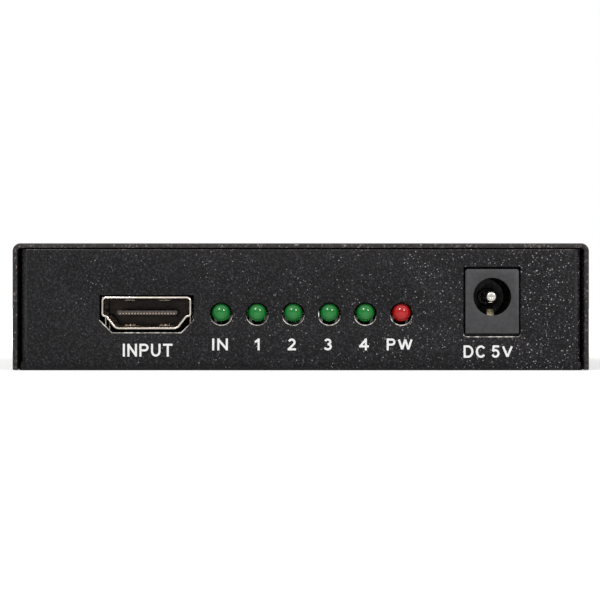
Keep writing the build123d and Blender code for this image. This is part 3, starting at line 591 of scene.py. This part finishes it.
class SPLITTER_OT_case(bpy.types.Operator):
    """Tray and cover in powder coat, with rounded sheet edges"""
    bl_idname = "splitter.case"
    bl_label = "Case"

    # Depths within which a face belongs to a panel, and a vertex to the back panel
    PANEL_SHEET, PANEL_DEPTH = 1.1 * MM, 2 * MM
    # Edges that turn by more than this are cut edges
    SHARP = math.radians(50)
    # The panels' holes lie within this half width, and between these heights
    HOLES_HALF, HOLES_LOW, HOLES_HIGH = 45 * MM, 2.5 * MM, 19.5 * MM
    # The straight sides of an output's hole lie between these heights
    SIDES_LOW, SIDES_HIGH = 5 * MM, 14 * MM
    # How far the edge of its hole may lie from an output's lip: beside it, under its top and over it
    BESIDE, UNDER, OVER = 0.9 * MM, 0.1 * MM, 1.2 * MM
    # The cover's side walls lie beyond this half width, and their screws within this half depth
    WALLS_HALF, SCREWS_HALF = 46.5 * MM, 30 * MM
    # Room round a screw's head, and depth of the cutter that opens the cover over it
    HEAD_ROOM, HEAD_DEPTH = 0.16 * MM, 0.3 * MM

    def execute(self, context):
        settings = context.scene.splitter_case
        width = settings.edge_round
        coat = powder_coat()
        tray = copy_of("tray_sheet", "base_tray", self.divide_panels)
        self.fit_outputs(tray, settings.lip_cover)
        self.soften(tray, width, self.on_panel)
        finished(tray, coat, "powder_coat", "base_tray")
        cover = copy_of("cover_sheet", "top_cover")
        self.open_heads(cover)
        self.soften(cover, width, self.off_screws)
        finished(cover, coat, "powder_coat", "top_cover")
        # Painted highlight on the upward-facing lower edges of the holes
        lay(tray, punched_edge_painted_highlight(), lambda c, n: self.punched(c, n, width))
        cut = cut_edge_coat_and_painted_highlight()
        # Painted highlight along the panel's upward-facing top edge
        lay(tray, cut, lambda c, n: self.cut_top(c, n, width))
        low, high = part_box("top_cover")
        lay(cover, cut, lambda c, n: abs(n.y) > FACING and min(c.y - low.y, high.y - c.y) < NEAR)
        return {"FINISHED"}

    def divide_panels(self, tray):
        """Seams across the middle of each panel hole, so that no face has a hole within it"""
        for names, panel in ((("input_shell", *GREEN_LAMPS, RED_LAMP, "power_jack_housing"), FRONT),
                             ([f"{name}_shell" for name in OUTPUT_NAMES], BACK)):
            for low, high in map(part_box, names):
                pick(tray, lambda c, n: abs(c.y - panel) < self.PANEL_SHEET, "FACE")
                bpy.ops.mesh.bisect(plane_co=((low.x + high.x) / 2, 0, 0), plane_no=(1, 0, 0))
                bpy.ops.mesh.mark_seam(clear=False)

    def soften(self, piece, width, wanted):
        """Sharp edges where the test wants them, under a coat that rounds them"""
        edit(piece, "EDGE")
        bpy.ops.mesh.edges_select_sharp(sharpness=self.SHARP)
        mesh = bmesh.from_edit_mesh(piece.data)
        for edge in [e for e in mesh.edges if e.select and not wanted(middle(e))]:
            edge.select_set(False)
        bmesh.update_edit_mesh(piece.data)
        bpy.ops.mesh.bevel(offset=width, segments=3, affect="EDGES", clamp_overlap=False)
        leave()

    def among_holes(self, place):
        """Is the place at the height of the panels' holes?"""
        return self.HOLES_LOW < place.z < self.HOLES_HIGH

    def on_panel(self, place):
        """Is the place on the outside of a panel, round a hole or along the top?"""
        outside = abs(place.y) > BACK - NEAR and abs(place.x) < self.HOLES_HALF
        return outside and (self.among_holes(place) or place.z > TRAY_TOP - NEAR)

    def punched(self, centre, normal, width):
        """Is the face on the rounded outer edge of a punched hole, along its lower side, where the highlight
        is painted?
        """
        outside = abs(centre.y) > BACK - width and abs(centre.x) < self.HOLES_HALF
        tilted = normal.z > TILTED and TILTED < abs(normal.y) < SQUARE
        return outside and self.among_holes(centre) and tilted

    def cut_top(self, centre, normal, width):
        """Is the face on the rounded outer edge along the top of a panel, where the highlight is painted?"""
        at_edge = abs(centre.y) > BACK - width and centre.z > TRAY_TOP - width
        return at_edge and abs(normal.y) > TILTED and normal.z > TILTED

    def off_screws(self, place):
        """Is the place away from the holes of the cover's screws?"""
        beside = SCREWS_LOW.z - MM < place.z < SCREWS_HIGH.z + MM and abs(place.y) <= self.SCREWS_HALF
        return abs(place.x) < self.WALLS_HALF or not beside

    def open_heads(self, cover):
        """Cover opened over its screws' heads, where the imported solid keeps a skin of 0.05 mm"""
        cutters = []
        for place in HEAD_PLACES:
            deselect()
            bpy.ops.mesh.primitive_cylinder_add(
                vertices=48, radius=HEAD_RADIUS + self.HEAD_ROOM, depth=self.HEAD_DEPTH, location=place,
                rotation=(0, math.pi / 2, 0))
            cutters.append(named("cutter"))
        cut_away(cover, cutters)

    def fit_outputs(self, tray, cover):
        """Back panel fitted closer: holes drawn in under the lips, the top edge nearly up to the cover"""
        edit(tray)
        self.shift(tray, 2, TRAY_TOP + 2 * cover, lambda c: c.z > TRAY_TOP - HAIR)
        for name in OUTPUT_NAMES:
            low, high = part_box(f"{name}_shell")
            for edge, target in ((low.x, low.x + cover), (high.x, high.x - cover)):
                self.shift(tray, 0, target, lambda c: abs(c.x - edge) < self.BESIDE
                           and self.SIDES_LOW < c.z < self.SIDES_HIGH)
            self.shift(tray, 2, high.z - cover, lambda c: low.x - MM < c.x < high.x + MM
                       and -self.UNDER < c.z - high.z < self.OVER)
        leave()

    def shift(self, tray, axis, target, wanted):
        """Vertices of the back panel that the test wants, moved to one place along an axis"""
        pick(tray, lambda c: c.y > BACK - self.PANEL_DEPTH and wanted(c))
        chosen = [v.co[axis] for v in bmesh.from_edit_mesh(tray.data).verts if v.select]
        if not chosen:
            raise RuntimeError("The back panel has no vertices there")
        move = [0, 0, 0]
        move[axis] = target - sum(chosen) / len(chosen)
        bpy.ops.transform.translate(value=move)


class SPLITTER_OT_screws(bpy.types.Operator):
    """Countersunk cover screws with a cross recess"""
    bl_idname = "splitter.screws"
    bl_label = "Cover screws"

    # The recess's arms: length of the cutter along the screw, length of an arm and its width
    ARM_DEPTH, ARM_LENGTH, ARM_WIDTH = 1.6 * MM, 2.3 * MM, 0.42 * MM
    EDGE_ROUND = 0.05 * MM

    def execute(self, context):
        piece = copy_of("cover_screw_set", "cover_screws")
        arms = [block("arm", place, (self.ARM_DEPTH, *arm)) for place in HEAD_PLACES
                for arm in ((self.ARM_LENGTH, self.ARM_WIDTH), (self.ARM_WIDTH, self.ARM_LENGTH))]
        cut_away(piece, arms, use_self=True)
        rounded(piece, self.EDGE_ROUND, segments=1, angle=50)
        finished(piece, black_zinc(), "black_screws", "cover_screws")
        return {"FINISHED"}


def flat_outline(name, corners):
    """Flat face in the XZ plane, its corners moved to their places"""
    deselect()
    bpy.ops.mesh.primitive_circle_add(
        vertices=len(corners), radius=MM, fill_type="NGON", rotation=(math.pi / 2, 0, 0))
    piece = named(name)
    edit(piece)
    for index, (x, z) in enumerate(corners):
        mesh = bmesh.from_edit_mesh(piece.data)
        mesh.verts.ensure_lookup_table()
        for vert in mesh.verts:
            vert.select_set(vert.index == index)
        mesh.select_flush_mode()
        move = Vector((x, 0, z)) - mesh.verts[index].co
        bmesh.update_edit_mesh(piece.data)
        bpy.ops.transform.translate(value=move)
    leave()
    return piece


def strip(name, width, route, sheet):
    """Strip of sheet that follows a route of places along Y and Z"""
    deselect()
    bpy.ops.mesh.primitive_plane_add(size=1)
    piece = named(name)
    edit(piece, action="SELECT")
    bpy.ops.transform.resize(value=(width, 1, 0))
    # The plane's ends start half a metre from its middle, far from every place on the route
    for wanted, (back, up) in ((lambda c: c.y < -0.4, route[0]), (lambda c: c.y > 0.4, route[1])):
        pick(piece, wanted)
        here = next(v.co.copy() for v in bmesh.from_edit_mesh(piece.data).verts if v.select)
        bpy.ops.transform.translate(value=(0, back - here.y, up - here.z))
    for before, after in zip(route[1:], route[2:]):
        extrude(after[0] - before[0], after[1] - before[1])
    leave()
    modify(piece, "SOLIDIFY", thickness=sheet, offset=0, use_even_offset=True)
    outward(piece)
    return piece


class SPLITTER_OT_sockets(bpy.types.Operator):
    """Input and output sockets: pressed shells with sprung fingers, insulators and contacts"""
    bl_idname = "splitter.sockets"
    bl_label = "Sockets"

    # The lip's bends: their depth as a share of the lip's, and how much of its flare it has there
    LIP_SHARES = ((0.62, 0.12), (0.34, 0.38), (0.14, 0.7), (0, 1))
    LIP_ROUND = 0.1 * MM
    # Bends and chamfers that meet in the middle of a narrow side, as a share of its width
    BEND_SHARE = 0.48
    # A finger's route from its root: depth behind the mouth, and height over the wall's inner face
    FINGER_ROUTE = [(back * MM, up * MM) for back, up in (
        (7.1, 0.15), (5.4, 0.1), (4.2, -0.12), (3.5, -0.3), (3.0, -0.34), (2.5, -0.28), (2.0, -0.05))]
    # The fingers: how far from the middle, their width and round, and their sheet as a share of the shell's
    FINGER_ASIDE, FINGER_WIDTH, FINGER_ROUND, FINGER_SHARE = 2.9 * MM, 1.8 * MM, 0.05 * MM, 0.9
    # The windows: their width and length, their middle behind the mouth, and the height of their cutter
    WINDOW_WIDTH, WINDOW_LENGTH, WINDOW_MIDDLE, CUTTER_HEIGHT = 2.4 * MM, 5.3 * MM, 4.35 * MM, 1.6 * MM
    # The legs: where they begin behind the mouth, their width, and their feet's inset and share of it
    LEG_STARTS, LEG_WIDTH, FOOT_INSET, FOOT_SHARE = (3.0 * MM, 8.8 * MM), 1.5 * MM, 0.05 * MM, 0.6
    # The tongue: half its width, where its lower side begins, its round, and the depth of the contacts in it
    TONGUE_HALF, TONGUE_LOW, TONGUE_ROUND, TONGUE_END = 5 * MM, -0.3 * MM, 0.07 * MM, 8 * MM
    # The block behind the shell: its gap, its depth, the rim and the depth of its hollow back, and its round
    BLOCK_GAP, BLOCK_DEPTH, BLOCK_RIM, BLOCK_HOLLOW, BLOCK_ROUND = (
        size * MM for size in (0.05, 1.85, 0.8, 0.4, 0.15))
    # The contacts: how flat they are sunk in the tongue, their round and their count
    SUNK_SHARE, CONTACT_ROUND, CONTACT_COUNT = 0.74, 0.03 * MM, 19
    # A contact's diamond end: its size, its place behind the mouth and over its middle, its front's share
    END_SIZE, END_BACK, END_UP, END_SHARE = 0.29 * MM, 1.58 * MM, -0.1 * MM, 0.7

    def execute(self, context):
        sizes = context.scene.splitter_sockets
        low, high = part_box("input_shell")
        lip_top = sizes.mouth_height / 2 + sizes.sheet + sizes.flare
        mouth = Vector(((low.x + high.x) / 2, low.y, high.z - lip_top))
        length = high.y - low.y
        sources = ((self.shell(sizes, length, mouth.z - low.z), "shell", nickel_sheet(), "nickel_shell"),
                   (self.insulator(sizes, mouth, length), "insulator", socket_polymer(), "socket_plastic"),
                   (self.contacts(sizes, mouth), "contacts", gold_flash(), "gold_contacts"))
        for name in SOCKET_NAMES:
            low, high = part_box(f"{name}_shell")
            is_output = name in OUTPUT_NAMES
            place = ((low.x + high.x) / 2, high.y if is_output else low.y, mouth.z)
            for source, label, material, slot in sources:
                twin = copied(f"{name}_{label}_fine", source, place, math.pi if is_output else 0)
                finished(twin, material, slot, f"{name}_{label}", angle=40)
        for source, *_ in sources:
            bpy.data.objects.remove(source)
        return {"FINISHED"}

    def shell(self, sizes, length, drop):
        """Shell pressed from one sheet: its eight-cornered mouth, walls, flared lip, fingers and legs"""
        half, top, foot = sizes.mouth_width / 2, sizes.mouth_height / 2, sizes.foot_width / 2
        step = top - sizes.side_height
        right = [(half, top), (half, step), (half - sizes.shoulder, step), (foot, -top)]
        piece = flat_outline("socket_shell", right + [(-x, z) for x, z in reversed(right)])
        edit(piece)
        bends = ((lambda c: abs(abs(c.z) - top) < HAIR, sizes.corner),
                 (lambda c: abs(c.z - step) < HAIR, sizes.shoulder * self.BEND_SHARE))
        for wanted, radius in bends:
            pick(piece, wanted)
            bpy.ops.mesh.bevel(
                offset=radius, offset_type="OFFSET", segments=5, affect="VERTICES", clamp_overlap=True)
        bpy.ops.mesh.select_all(action="SELECT")
        bpy.ops.mesh.delete(type="ONLY_FACE")
        bpy.ops.mesh.select_all(action="SELECT")
        bpy.ops.transform.translate(value=(0, length, 0))
        extrude(sizes.lip_depth - length)
        here, grown = sizes.lip_depth, 0
        for depth_share, flare_share in self.LIP_SHARES:
            there, new = depth_share * sizes.lip_depth, flare_share * sizes.flare
            extrude(there - here)
            bpy.ops.transform.resize(value=((half + new) / (half + grown), 1, (top + new) / (top + grown)),
                                     center_override=(0, there, 0))
            here, grown = there, new
        bpy.ops.mesh.select_all(action="SELECT")
        bpy.ops.mesh.normals_make_consistent(inside=False)
        leave()
        modify(piece, "SOLIDIFY", thickness=sizes.sheet, offset=1, use_even_offset=True)
        rounded(piece, self.LIP_ROUND, segments=3, angle=60)
        fingers = self.windows(piece, top, sizes.sheet * self.FINGER_SHARE)
        return joined([piece, *fingers, *self.legs(sizes, step, drop)], "socket_shell")

    def windows(self, piece, wall, sheet):
        """Windows cut in the shell's top and bottom, with a sprung finger left in each"""
        size = (self.WINDOW_WIDTH, self.WINDOW_LENGTH, self.CUTTER_HEIGHT)
        cutters, fingers = [], []
        for x in (-self.FINGER_ASIDE, self.FINGER_ASIDE):
            for side in (-1, 1):
                cutters.append(block("cutter", (x, self.WINDOW_MIDDLE, side * wall), size))
                route = [(back, side * (wall + up)) for back, up in self.FINGER_ROUTE]
                finger = strip("finger", self.FINGER_WIDTH, route, sheet)
                finger.location.x = x
                rounded(finger, self.FINGER_ROUND, segments=2, angle=50)
                fingers.append(finger)
        cut_away(piece, cutters)
        return fingers

    def legs(self, sizes, step, drop):
        """Legs that the shell stands on, drawn in to a narrower foot"""
        size = (sizes.sheet, self.LEG_WIDTH, step + drop + MM)
        for side in (-1, 1):
            for start in self.LEG_STARTS:
                aside = side * (sizes.mouth_width + sizes.sheet) / 2
                leg = block("leg", (aside, start + self.LEG_WIDTH / 2, (step - drop + MM) / 2), size)
                edit(leg)
                pick(leg, lambda c, n: n.z < -FACING, "FACE")
                bpy.ops.mesh.inset(thickness=self.FOOT_INSET)
                bpy.ops.transform.resize(value=(1, self.FOOT_SHARE, 1))
                pick(leg, lambda c: c.y < start + HAIR and -drop + HAIR < c.z < step, "EDGE")
                bpy.ops.mesh.bevel(offset=sizes.sheet * self.BEND_SHARE, segments=2, affect="EDGES")
                leave()
                yield leg

    def inner(self, name, source, mouth):
        """Copy of a CAD node, moved to the mouth's own frame"""
        piece = copy_of(name, source)
        piece.location = -mouth
        return placed(piece)

    def insulator(self, sizes, mouth, length):
        """Tongue with its lower corners cut back, and the block behind the shell that holds the tails"""
        piece = self.inner("insulator", "input_insulator", mouth)
        edit(piece)
        pick(piece, lambda c: abs(abs(c.x) - self.TONGUE_HALF) < NEAR and c.z < self.TONGUE_LOW
             and c.y < length / 2, "EDGE")
        bpy.ops.mesh.bevel(offset=sizes.tongue_chamfer, segments=2, affect="EDGES")
        leave()
        rounded(piece, self.TONGUE_ROUND, segments=2, angle=40)
        low, high = BOARD_TOP - mouth.z, sizes.mouth_height / 2 + sizes.sheet
        holder = block("tail_block", (0, length + self.BLOCK_GAP + self.BLOCK_DEPTH / 2, (low + high) / 2),
                       (sizes.mouth_width + sizes.sheet, self.BLOCK_DEPTH, high - low))
        edit(holder)
        pick(holder, lambda c, n: n.y > FACING, "FACE")
        bpy.ops.mesh.inset(thickness=self.BLOCK_RIM)
        extrude(-self.BLOCK_HOLLOW)
        leave()
        rounded(holder, self.BLOCK_ROUND, segments=2, angle=40)
        return joined([piece, holder], "insulator")

    def contacts(self, sizes, mouth):
        """Contacts sunk flush in the tongue, and the small diamonds that their ends make in its front"""
        piece = self.inner("contacts", "input_contacts", mouth)
        edit(piece)
        pick(piece, lambda c: c.y < self.TONGUE_END)
        bpy.ops.transform.resize(value=(1, 1, self.SUNK_SHARE), center_override=(0, 0, 0))
        leave()
        rounded(piece, self.CONTACT_ROUND, segments=1, angle=40)
        ends = [piece]
        for index in range(self.CONTACT_COUNT):
            aside = (index - (self.CONTACT_COUNT - 1) / 2) * sizes.contact_pitch
            end = block("contact_end", (aside, self.END_BACK, self.END_UP), [self.END_SIZE] * 3, math.pi / 4)
            edit(end)
            pick(end, lambda c, n: n.y < -FACING, "FACE")
            bpy.ops.transform.resize(value=(self.END_SHARE, 1, self.END_SHARE))
            leave()
            ends.append(end)
        return joined(ends, "contacts")


class SPLITTER_OT_lamps(bpy.types.Operator):
    """Domed lenses of the six lamps"""
    bl_idname = "splitter.lamps"
    bl_label = "Lamps"

    # Width of the flat rim that closes a lens at its back, as a share of its radius
    RIM_SHARE = 0.1

    def execute(self, context):
        lamps = context.scene.splitter_lamps
        low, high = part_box(RED_LAMP)
        lens = self.lens(lamps, (high.x - low.x) / 2, high.y - low.y)
        green = (lamp_epoxy("green_tinted_epoxy", lamps.green), "green_lens")
        red = (lamp_epoxy("red_tinted_epoxy", lamps.red), "red_lens")
        for name in (*GREEN_LAMPS, RED_LAMP):
            low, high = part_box(name)
            twin = copied(f"{name}_lens", lens, ((low.x + high.x) / 2, low.y, (low.z + high.z) / 2))
            material, slot = red if name == RED_LAMP else green
            finished(twin, material, slot, name, angle=40)
        bpy.data.objects.remove(lens)
        return {"FINISHED"}

    def lens(self, lamps, radius, length):
        """Lens along Y from the tip of its dome"""
        deselect()
        bpy.ops.mesh.primitive_uv_sphere_add(
            segments=48, ring_count=lamps.rings * 2, radius=radius, location=(0, radius, 0),
            rotation=(math.pi / 2, 0, 0))
        piece = named("lens")
        edit(piece, action="SELECT")
        bpy.ops.mesh.bisect(plane_co=(0, radius, 0), plane_no=(0, 1, 0), clear_outer=True)
        pick(piece, lambda c: c.y > radius - HAIR)
        extrude(length - radius)
        bpy.ops.mesh.edge_face_add()
        bpy.ops.mesh.inset(thickness=radius * self.RIM_SHARE)
        leave()
        outward(piece)
        return piece


class SPLITTER_OT_jack(bpy.types.Operator):
    """Power jack: moulded housing, turned pin and sprung leaf"""
    bl_idname = "splitter.jack"
    bl_label = "Power jack"

    # Depth of the ring in the pin's tip
    MARK_DEPTH = 0.1 * MM

    def execute(self, context):
        jack = context.scene.splitter_jack
        housing = copy_of("jack_moulding", "power_jack_housing")
        rounded(housing, jack.edge_round, segments=3, angle=40)
        finished(housing, jack_nylon(), "jack_plastic", "power_jack_housing")
        (low, high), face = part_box("power_jack_pin"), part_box("power_jack_housing")[0].y
        axis = ((low.x + high.x) / 2, (low.z + high.z) / 2)
        # The bore's faces take the glossy nylon, darkened with painted shade
        lay(housing, polished_bore_nylon_painted_shade(),
            lambda c, n: math.dist((c.x, c.z), axis) < jack.bore and c.y > face + jack.edge_round)
        self.pin(jack, low.y, (high.x - low.x) / 2)
        leaf = copy_of("jack_leaf", "power_jack_spring")
        rounded(leaf, jack.crown, segments=3, angle=50)
        finished(leaf, leaf_bronze(), "spring_bronze", "power_jack_spring", body=LEAF_BODY)
        return {"FINISHED"}

    def pin(self, jack, tip, radius):
        """Turned pin with a rounded tip and the small ring that the lathe leaves in it"""
        pin = copy_of("jack_pin", "power_jack_pin")
        edit(pin)
        pick(pin, lambda c, n: n.y < -FACING and c.y < tip + HAIR, "FACE")
        bpy.ops.mesh.bevel(offset=jack.pin_tip, segments=6, affect="EDGES")
        pick(pin, lambda c, n: n.y < -FACING and c.y < tip + HAIR / 2, "FACE")
        bpy.ops.mesh.inset(thickness=radius - jack.pin_tip - jack.pin_mark)
        extrude(self.MARK_DEPTH)
        bpy.ops.mesh.inset(thickness=jack.pin_mark / 2)
        extrude(-self.MARK_DEPTH)
        leave()
        finished(pin, pin_nickel(), "nickel_pin", "power_jack_pin", angle=35)


def arc(centre, radii, start, end, steps=9):
    """Places along an arc, from one angle to another in degrees"""
    angles = [math.radians(start + (end - start) * index / steps) for index in range(steps + 1)]
    return [(centre[0] + radii[0] * math.cos(a), centre[1] + radii[1] * math.sin(a)) for a in angles]


# Each letter: its width as a share of its height, and its strokes in shares of its own width and height
LETTER_SHARES = {
    "I": (0.18, [[(0, 0), (0, 1)]]),
    "N": (0.79, [[(0, 0), (0, 1)], [(0, 1), (1, 0)], [(1, 0), (1, 1)]]),
    "P": (0.76, [[(0, 0), (0, 1)], [(0, 1), *arc((0.6, 0.74), (0.4, 0.26), 90, -90), (0, 0.48)]]),
    "U": (0.79, [[(0, 1), *arc((0.5, 0.4), (0.5, 0.4), 180, 360, 12), (1, 1)]]),
    "T": (0.79, [[(0, 1), (1, 1)], [(0.5, 1), (0.5, 0)]]),
    "D": (0.84, [[(0, 0), (0, 1)], [(0, 1), *arc((0.42, 0.5), (0.58, 0.5), 90, -90, 12), (0, 0)]]),
    "C": (0.88, [arc((0.5, 0.5), (0.5, 0.5), 38, 322, 16)]),
    "V": (0.92, [[(0, 1), (0.5, 0)], [(0.5, 0), (1, 1)]]),
    "W": (1.28, [[(0, 1), (0.26, 0)], [(0.26, 0), (0.5, 1)], [(0.5, 1), (0.74, 0)], [(0.74, 0), (1, 1)]]),
    "1": (0.48, [[(1, 0), (1, 1)], [(0, 0.72), (1, 1)]]),
    "2": (0.7, [[*arc((0.5, 0.72), (0.45, 0.28), 160, -32), (0, 0)], [(0, 0), (1, 0)]]),
    "3": (0.71, [arc((0.48, 0.76), (0.42, 0.24), 158, -90), arc((0.48, 0.26), (0.5, 0.26), 90, -158)]),
    "4": (0.83, [[(0.74, 0), (0.74, 1)], [(0.74, 1), (0, 0.3)], [(0, 0.3), (1, 0.3)]]),
    "5": (0.7, [[(0.92, 1), (0.2, 1)], [(0.2, 1), (0.08, 0.52)],
                arc((0.48, 0.32), (0.5, 0.32), 143, -158, 12)]),
}
LETTER_GAP_SHARE = 0.2
WORD_GAP_SHARE = 0.25


class SPLITTER_OT_legends(bpy.types.Operator):
    """White marks printed on the front panel"""
    bl_idname = "splitter.legends"
    bl_label = "Printed marks"

    # Words, left and right edges from the case's middle, foot and height of the capitals, in millimetres
    MARKS = (
        ("INPUT", -29.63, -21.35, 2.33, 2.14), ("IN", -14.75, -12.14, 3.37, 1.97),
        ("1", -7.8, -6.85, 3.37, 1.97), ("2", -2.19, -0.81, 3.37, 1.97), ("3", 3.8, 5.2, 3.37, 1.97),
        ("4", 9.71, 11.34, 3.37, 1.97), ("PW", 14.3, 18.62, 3.37, 1.97), ("DC 5V", 27.1, 35.3, 2.13, 2.07))
    # How high the first stroke of a word stands, and each later one over it, in shares of the ink's depth
    FIRST_SHARE, LATER_SHARE = 0.3, 0.05

    def execute(self, context):
        legends = context.scene.splitter_legends
        printed = screen_ink()
        for text, *edges in self.MARKS:
            routes = self.routes(text, *[edge * MM for edge in edges], legends.stroke)
            strokes = [self.stroke(route, legends, layer) for layer, route in enumerate(routes)]
            mark = joined(strokes, "mark_" + text.replace(" ", "_"))
            finished(mark, printed, "white_ink")
        return {"FINISHED"}

    def routes(self, text, left, right, foot, height, stroke):
        """Middle lines of a word's strokes, the word stretched between its left and right edges"""
        places, across = [], 0
        for letter in text:
            if letter == " ":
                across += WORD_GAP_SHARE
                continue
            places.append((across, *LETTER_SHARES[letter]))
            across += LETTER_SHARES[letter][0] + LETTER_GAP_SHARE
        unit = (right - left) / (across - LETTER_GAP_SHARE)
        tall = height - stroke
        for start, width, strokes in places:
            low = left + start * unit + stroke / 2
            wide = max(width * unit - stroke, 0)
            for points in strokes:
                yield [(low + u * wide, foot + stroke / 2 + v * tall) for u, v in points]

    def stroke(self, route, legends, layer):
        """One stroke of ink, a hair over the one before, its straight ends longer by half its width"""
        ends = []
        for end, beside in ((route[0], route[1]), (route[-1], route[-2])):
            away = (Vector(end) - Vector(beside)).normalized() * legends.stroke / 2
            is_straight = min(abs(away.x), abs(away.y)) < 10 * MERGE
            ends.append(tuple(Vector(end) + away) if is_straight else end)
        piece = strip("stroke", legends.ink_depth, [ends[0], *route[1:-1], ends[1]], legends.stroke)
        piece.rotation_euler.z = -math.pi / 2
        piece.location.y = FRONT - legends.ink_depth * (self.FIRST_SHARE + self.LATER_SHARE * layer)
        return placed(piece)


class SPLITTER_OT_board(bpy.types.Operator):
    """Board and all that is soldered to it, in their real finishes"""
    bl_idname = "splitter.board"
    bl_label = "Board"

    def execute(self, context):
        self.dress(solder_mask(), "main_board")
        self.dress(bright_zinc(), "board_standoffs")
        self.dress(can_aluminium(), "bulk_capacitors")
        self.dress(ferrite(), "power_inductor")
        self.dress(barium_titanate(), "ceramic_capacitors")
        self.dress(tin(), "led_leads", "crystal", "power_jack_rear_terminal", "power_jack_sleeve_terminal",
                   "power_jack_shunt_terminal")
        self.dress(chip_epoxy(), "splitter_chip", "memory_chip", "voltage_regulator", "chip_resistors")
        return {"FINISHED"}

    def dress(self, finish, *names):
        """CAD nodes shown as they are, in one finish"""
        for name in names:
            part = NODES[name]
            if not part.material_slots:
                part.data.materials.append(finish)
            for place in part.material_slots:
                place.material = finish


class SPLITTER_OT_stage(bpy.types.Operator):
    """Pale floor, soft lamps, white surroundings and the camera"""
    bl_idname = "splitter.stage"
    bl_label = "Stage"

    LAMP_REACH = 700 * MM
    AIM_HEIGHT = 10 * MM
    # Ways from the front panel to the lamps at the upper left and the upper right
    KEY_WAY, FILL_WAY = (-0.35, -0.66, 0.67), (0.55, -0.69, 0.46)
    # Side of the floor, width of the camera's sensor in millimetres, and the depths it sees
    FLOOR_SIZE, SENSOR, NEAREST, FARTHEST = 4, 36, 0.01, 20

    def execute(self, context):
        stage = context.scene.splitter_stage
        deselect()
        bpy.ops.mesh.primitive_plane_add(size=self.FLOOR_SIZE)
        floor = named("floor")
        floor.data.materials.append(paper())
        floor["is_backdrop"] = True
        self.surroundings(context)
        self.lamp("key_lamp", self.KEY_WAY, stage.key_power, stage.key_size)
        self.lamp("fill_lamp", self.FILL_WAY, stage.fill_power, stage.fill_size)
        deselect()
        bpy.ops.object.camera_add(location=(stage.side, FRONT - stage.distance, stage.height),
                                  rotation=(math.pi / 2, 0, 0))
        camera = bpy.context.object
        camera.data.lens, camera.data.sensor_width = stage.lens, self.SENSOR
        camera.data.clip_start, camera.data.clip_end = self.NEAREST, self.FARTHEST
        context.scene.camera = camera
        context.scene.view_settings.view_transform = "Standard"
        return {"FINISHED"}

    def lamp(self, name, way, power, size):
        """Soft lamp aimed at the front panel"""
        aim = Vector((0, FRONT, self.AIM_HEIGHT))
        place = aim + Vector(way).normalized() * self.LAMP_REACH
        deselect()
        bpy.ops.object.light_add(type="AREA", location=place)
        lamp = bpy.context.object
        lamp.name = name
        lamp.rotation_euler = (aim - place).to_track_quat("-Z", "Y").to_euler()
        lamp.data.energy, lamp.data.size = power, size

    def surroundings(self, context):
        """White to the eye, white overhead and dimmer at eye level to gloss, and dimmer still as a light"""
        world = bpy.data.worlds.new("studio")
        context.scene.world = world
        world.use_nodes = True
        tree = world.node_tree
        rays = node(tree, "LightPath")
        way = node(tree, "TexCoord")["Generated"]
        height = node(tree, "SeparateXYZ", {0: way})["Z"]
        overhead = node(tree, "MapRange", {"Value": height, "From Max": 0.8, "To Min": 0.35})["Result"]
        shown = node(tree, "Math", {0: rays["Is Glossy Ray"], 1: rays["Is Transmission Ray"]},
                     operation="MAXIMUM")[0]
        shone = node(tree, "Math", {0: shown, 1: overhead}, operation="MULTIPLY")[0]
        seen = node(tree, "Math", {0: rays["Is Camera Ray"], 1: shone}, operation="MAXIMUM")[0]
        lit = node(tree, "Math", {0: rays["Is Diffuse Ray"], 1: 0.4}, operation="MULTIPLY")[0]
        ground = tree.nodes["Background"].inputs
        ground["Color"].default_value = (1, 1, 1, 1)
        node(tree, "Math", {0: seen, 1: lit}, operation="MAXIMUM", to=ground["Strength"])


class SPLITTER_PT_panel(bpy.types.Panel):
    """Steps and settings of the splitter"""
    bl_idname = "SPLITTER_PT_panel"
    bl_label = "HDMI splitter"
    bl_space_type = "VIEW_3D"
    bl_region_type = "UI"
    bl_category = "Splitter"

    def draw(self, context):
        for step in STEPS:
            self.layout.operator(step.bl_idname)
        for name, group in GROUPS.items():
            box = self.layout.box()
            for key in group.__annotations__:
                box.prop(getattr(context.scene, name), key)


GROUPS = {
    "splitter_case": CaseSettings, "splitter_sockets": SocketSettings, "splitter_lamps": LampSettings,
    "splitter_jack": JackSettings, "splitter_legends": LegendSettings, "splitter_stage": StageSettings,
}
STEPS = (SPLITTER_OT_stage, SPLITTER_OT_case, SPLITTER_OT_screws, SPLITTER_OT_sockets, SPLITTER_OT_lamps,
         SPLITTER_OT_jack, SPLITTER_OT_legends, SPLITTER_OT_board)


def register():
    """Settings, steps and panel"""
    for kind in (*GROUPS.values(), *STEPS, SPLITTER_PT_panel):
        bpy.utils.register_class(kind)
    for name, group in GROUPS.items():
        setattr(bpy.types.Scene, name, bpy.props.PointerProperty(type=group))


def unregister():
    """Takes away what register added"""
    for name in GROUPS:
        delattr(bpy.types.Scene, name)
    for kind in (SPLITTER_PT_panel, *reversed(STEPS), *GROUPS.values()):
        bpy.utils.unregister_class(kind)


def main():
    register()
    for step in STEPS:
        category, name = step.bl_idname.split(".")
        getattr(getattr(bpy.ops, category), name)()
    deselect()
    boxes = {"cad": CAD_BOX, "visual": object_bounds()}
    {name: [list(corner) for corner in box] for name, box in boxes.items()}


if __name__ == "__main__":
    main()
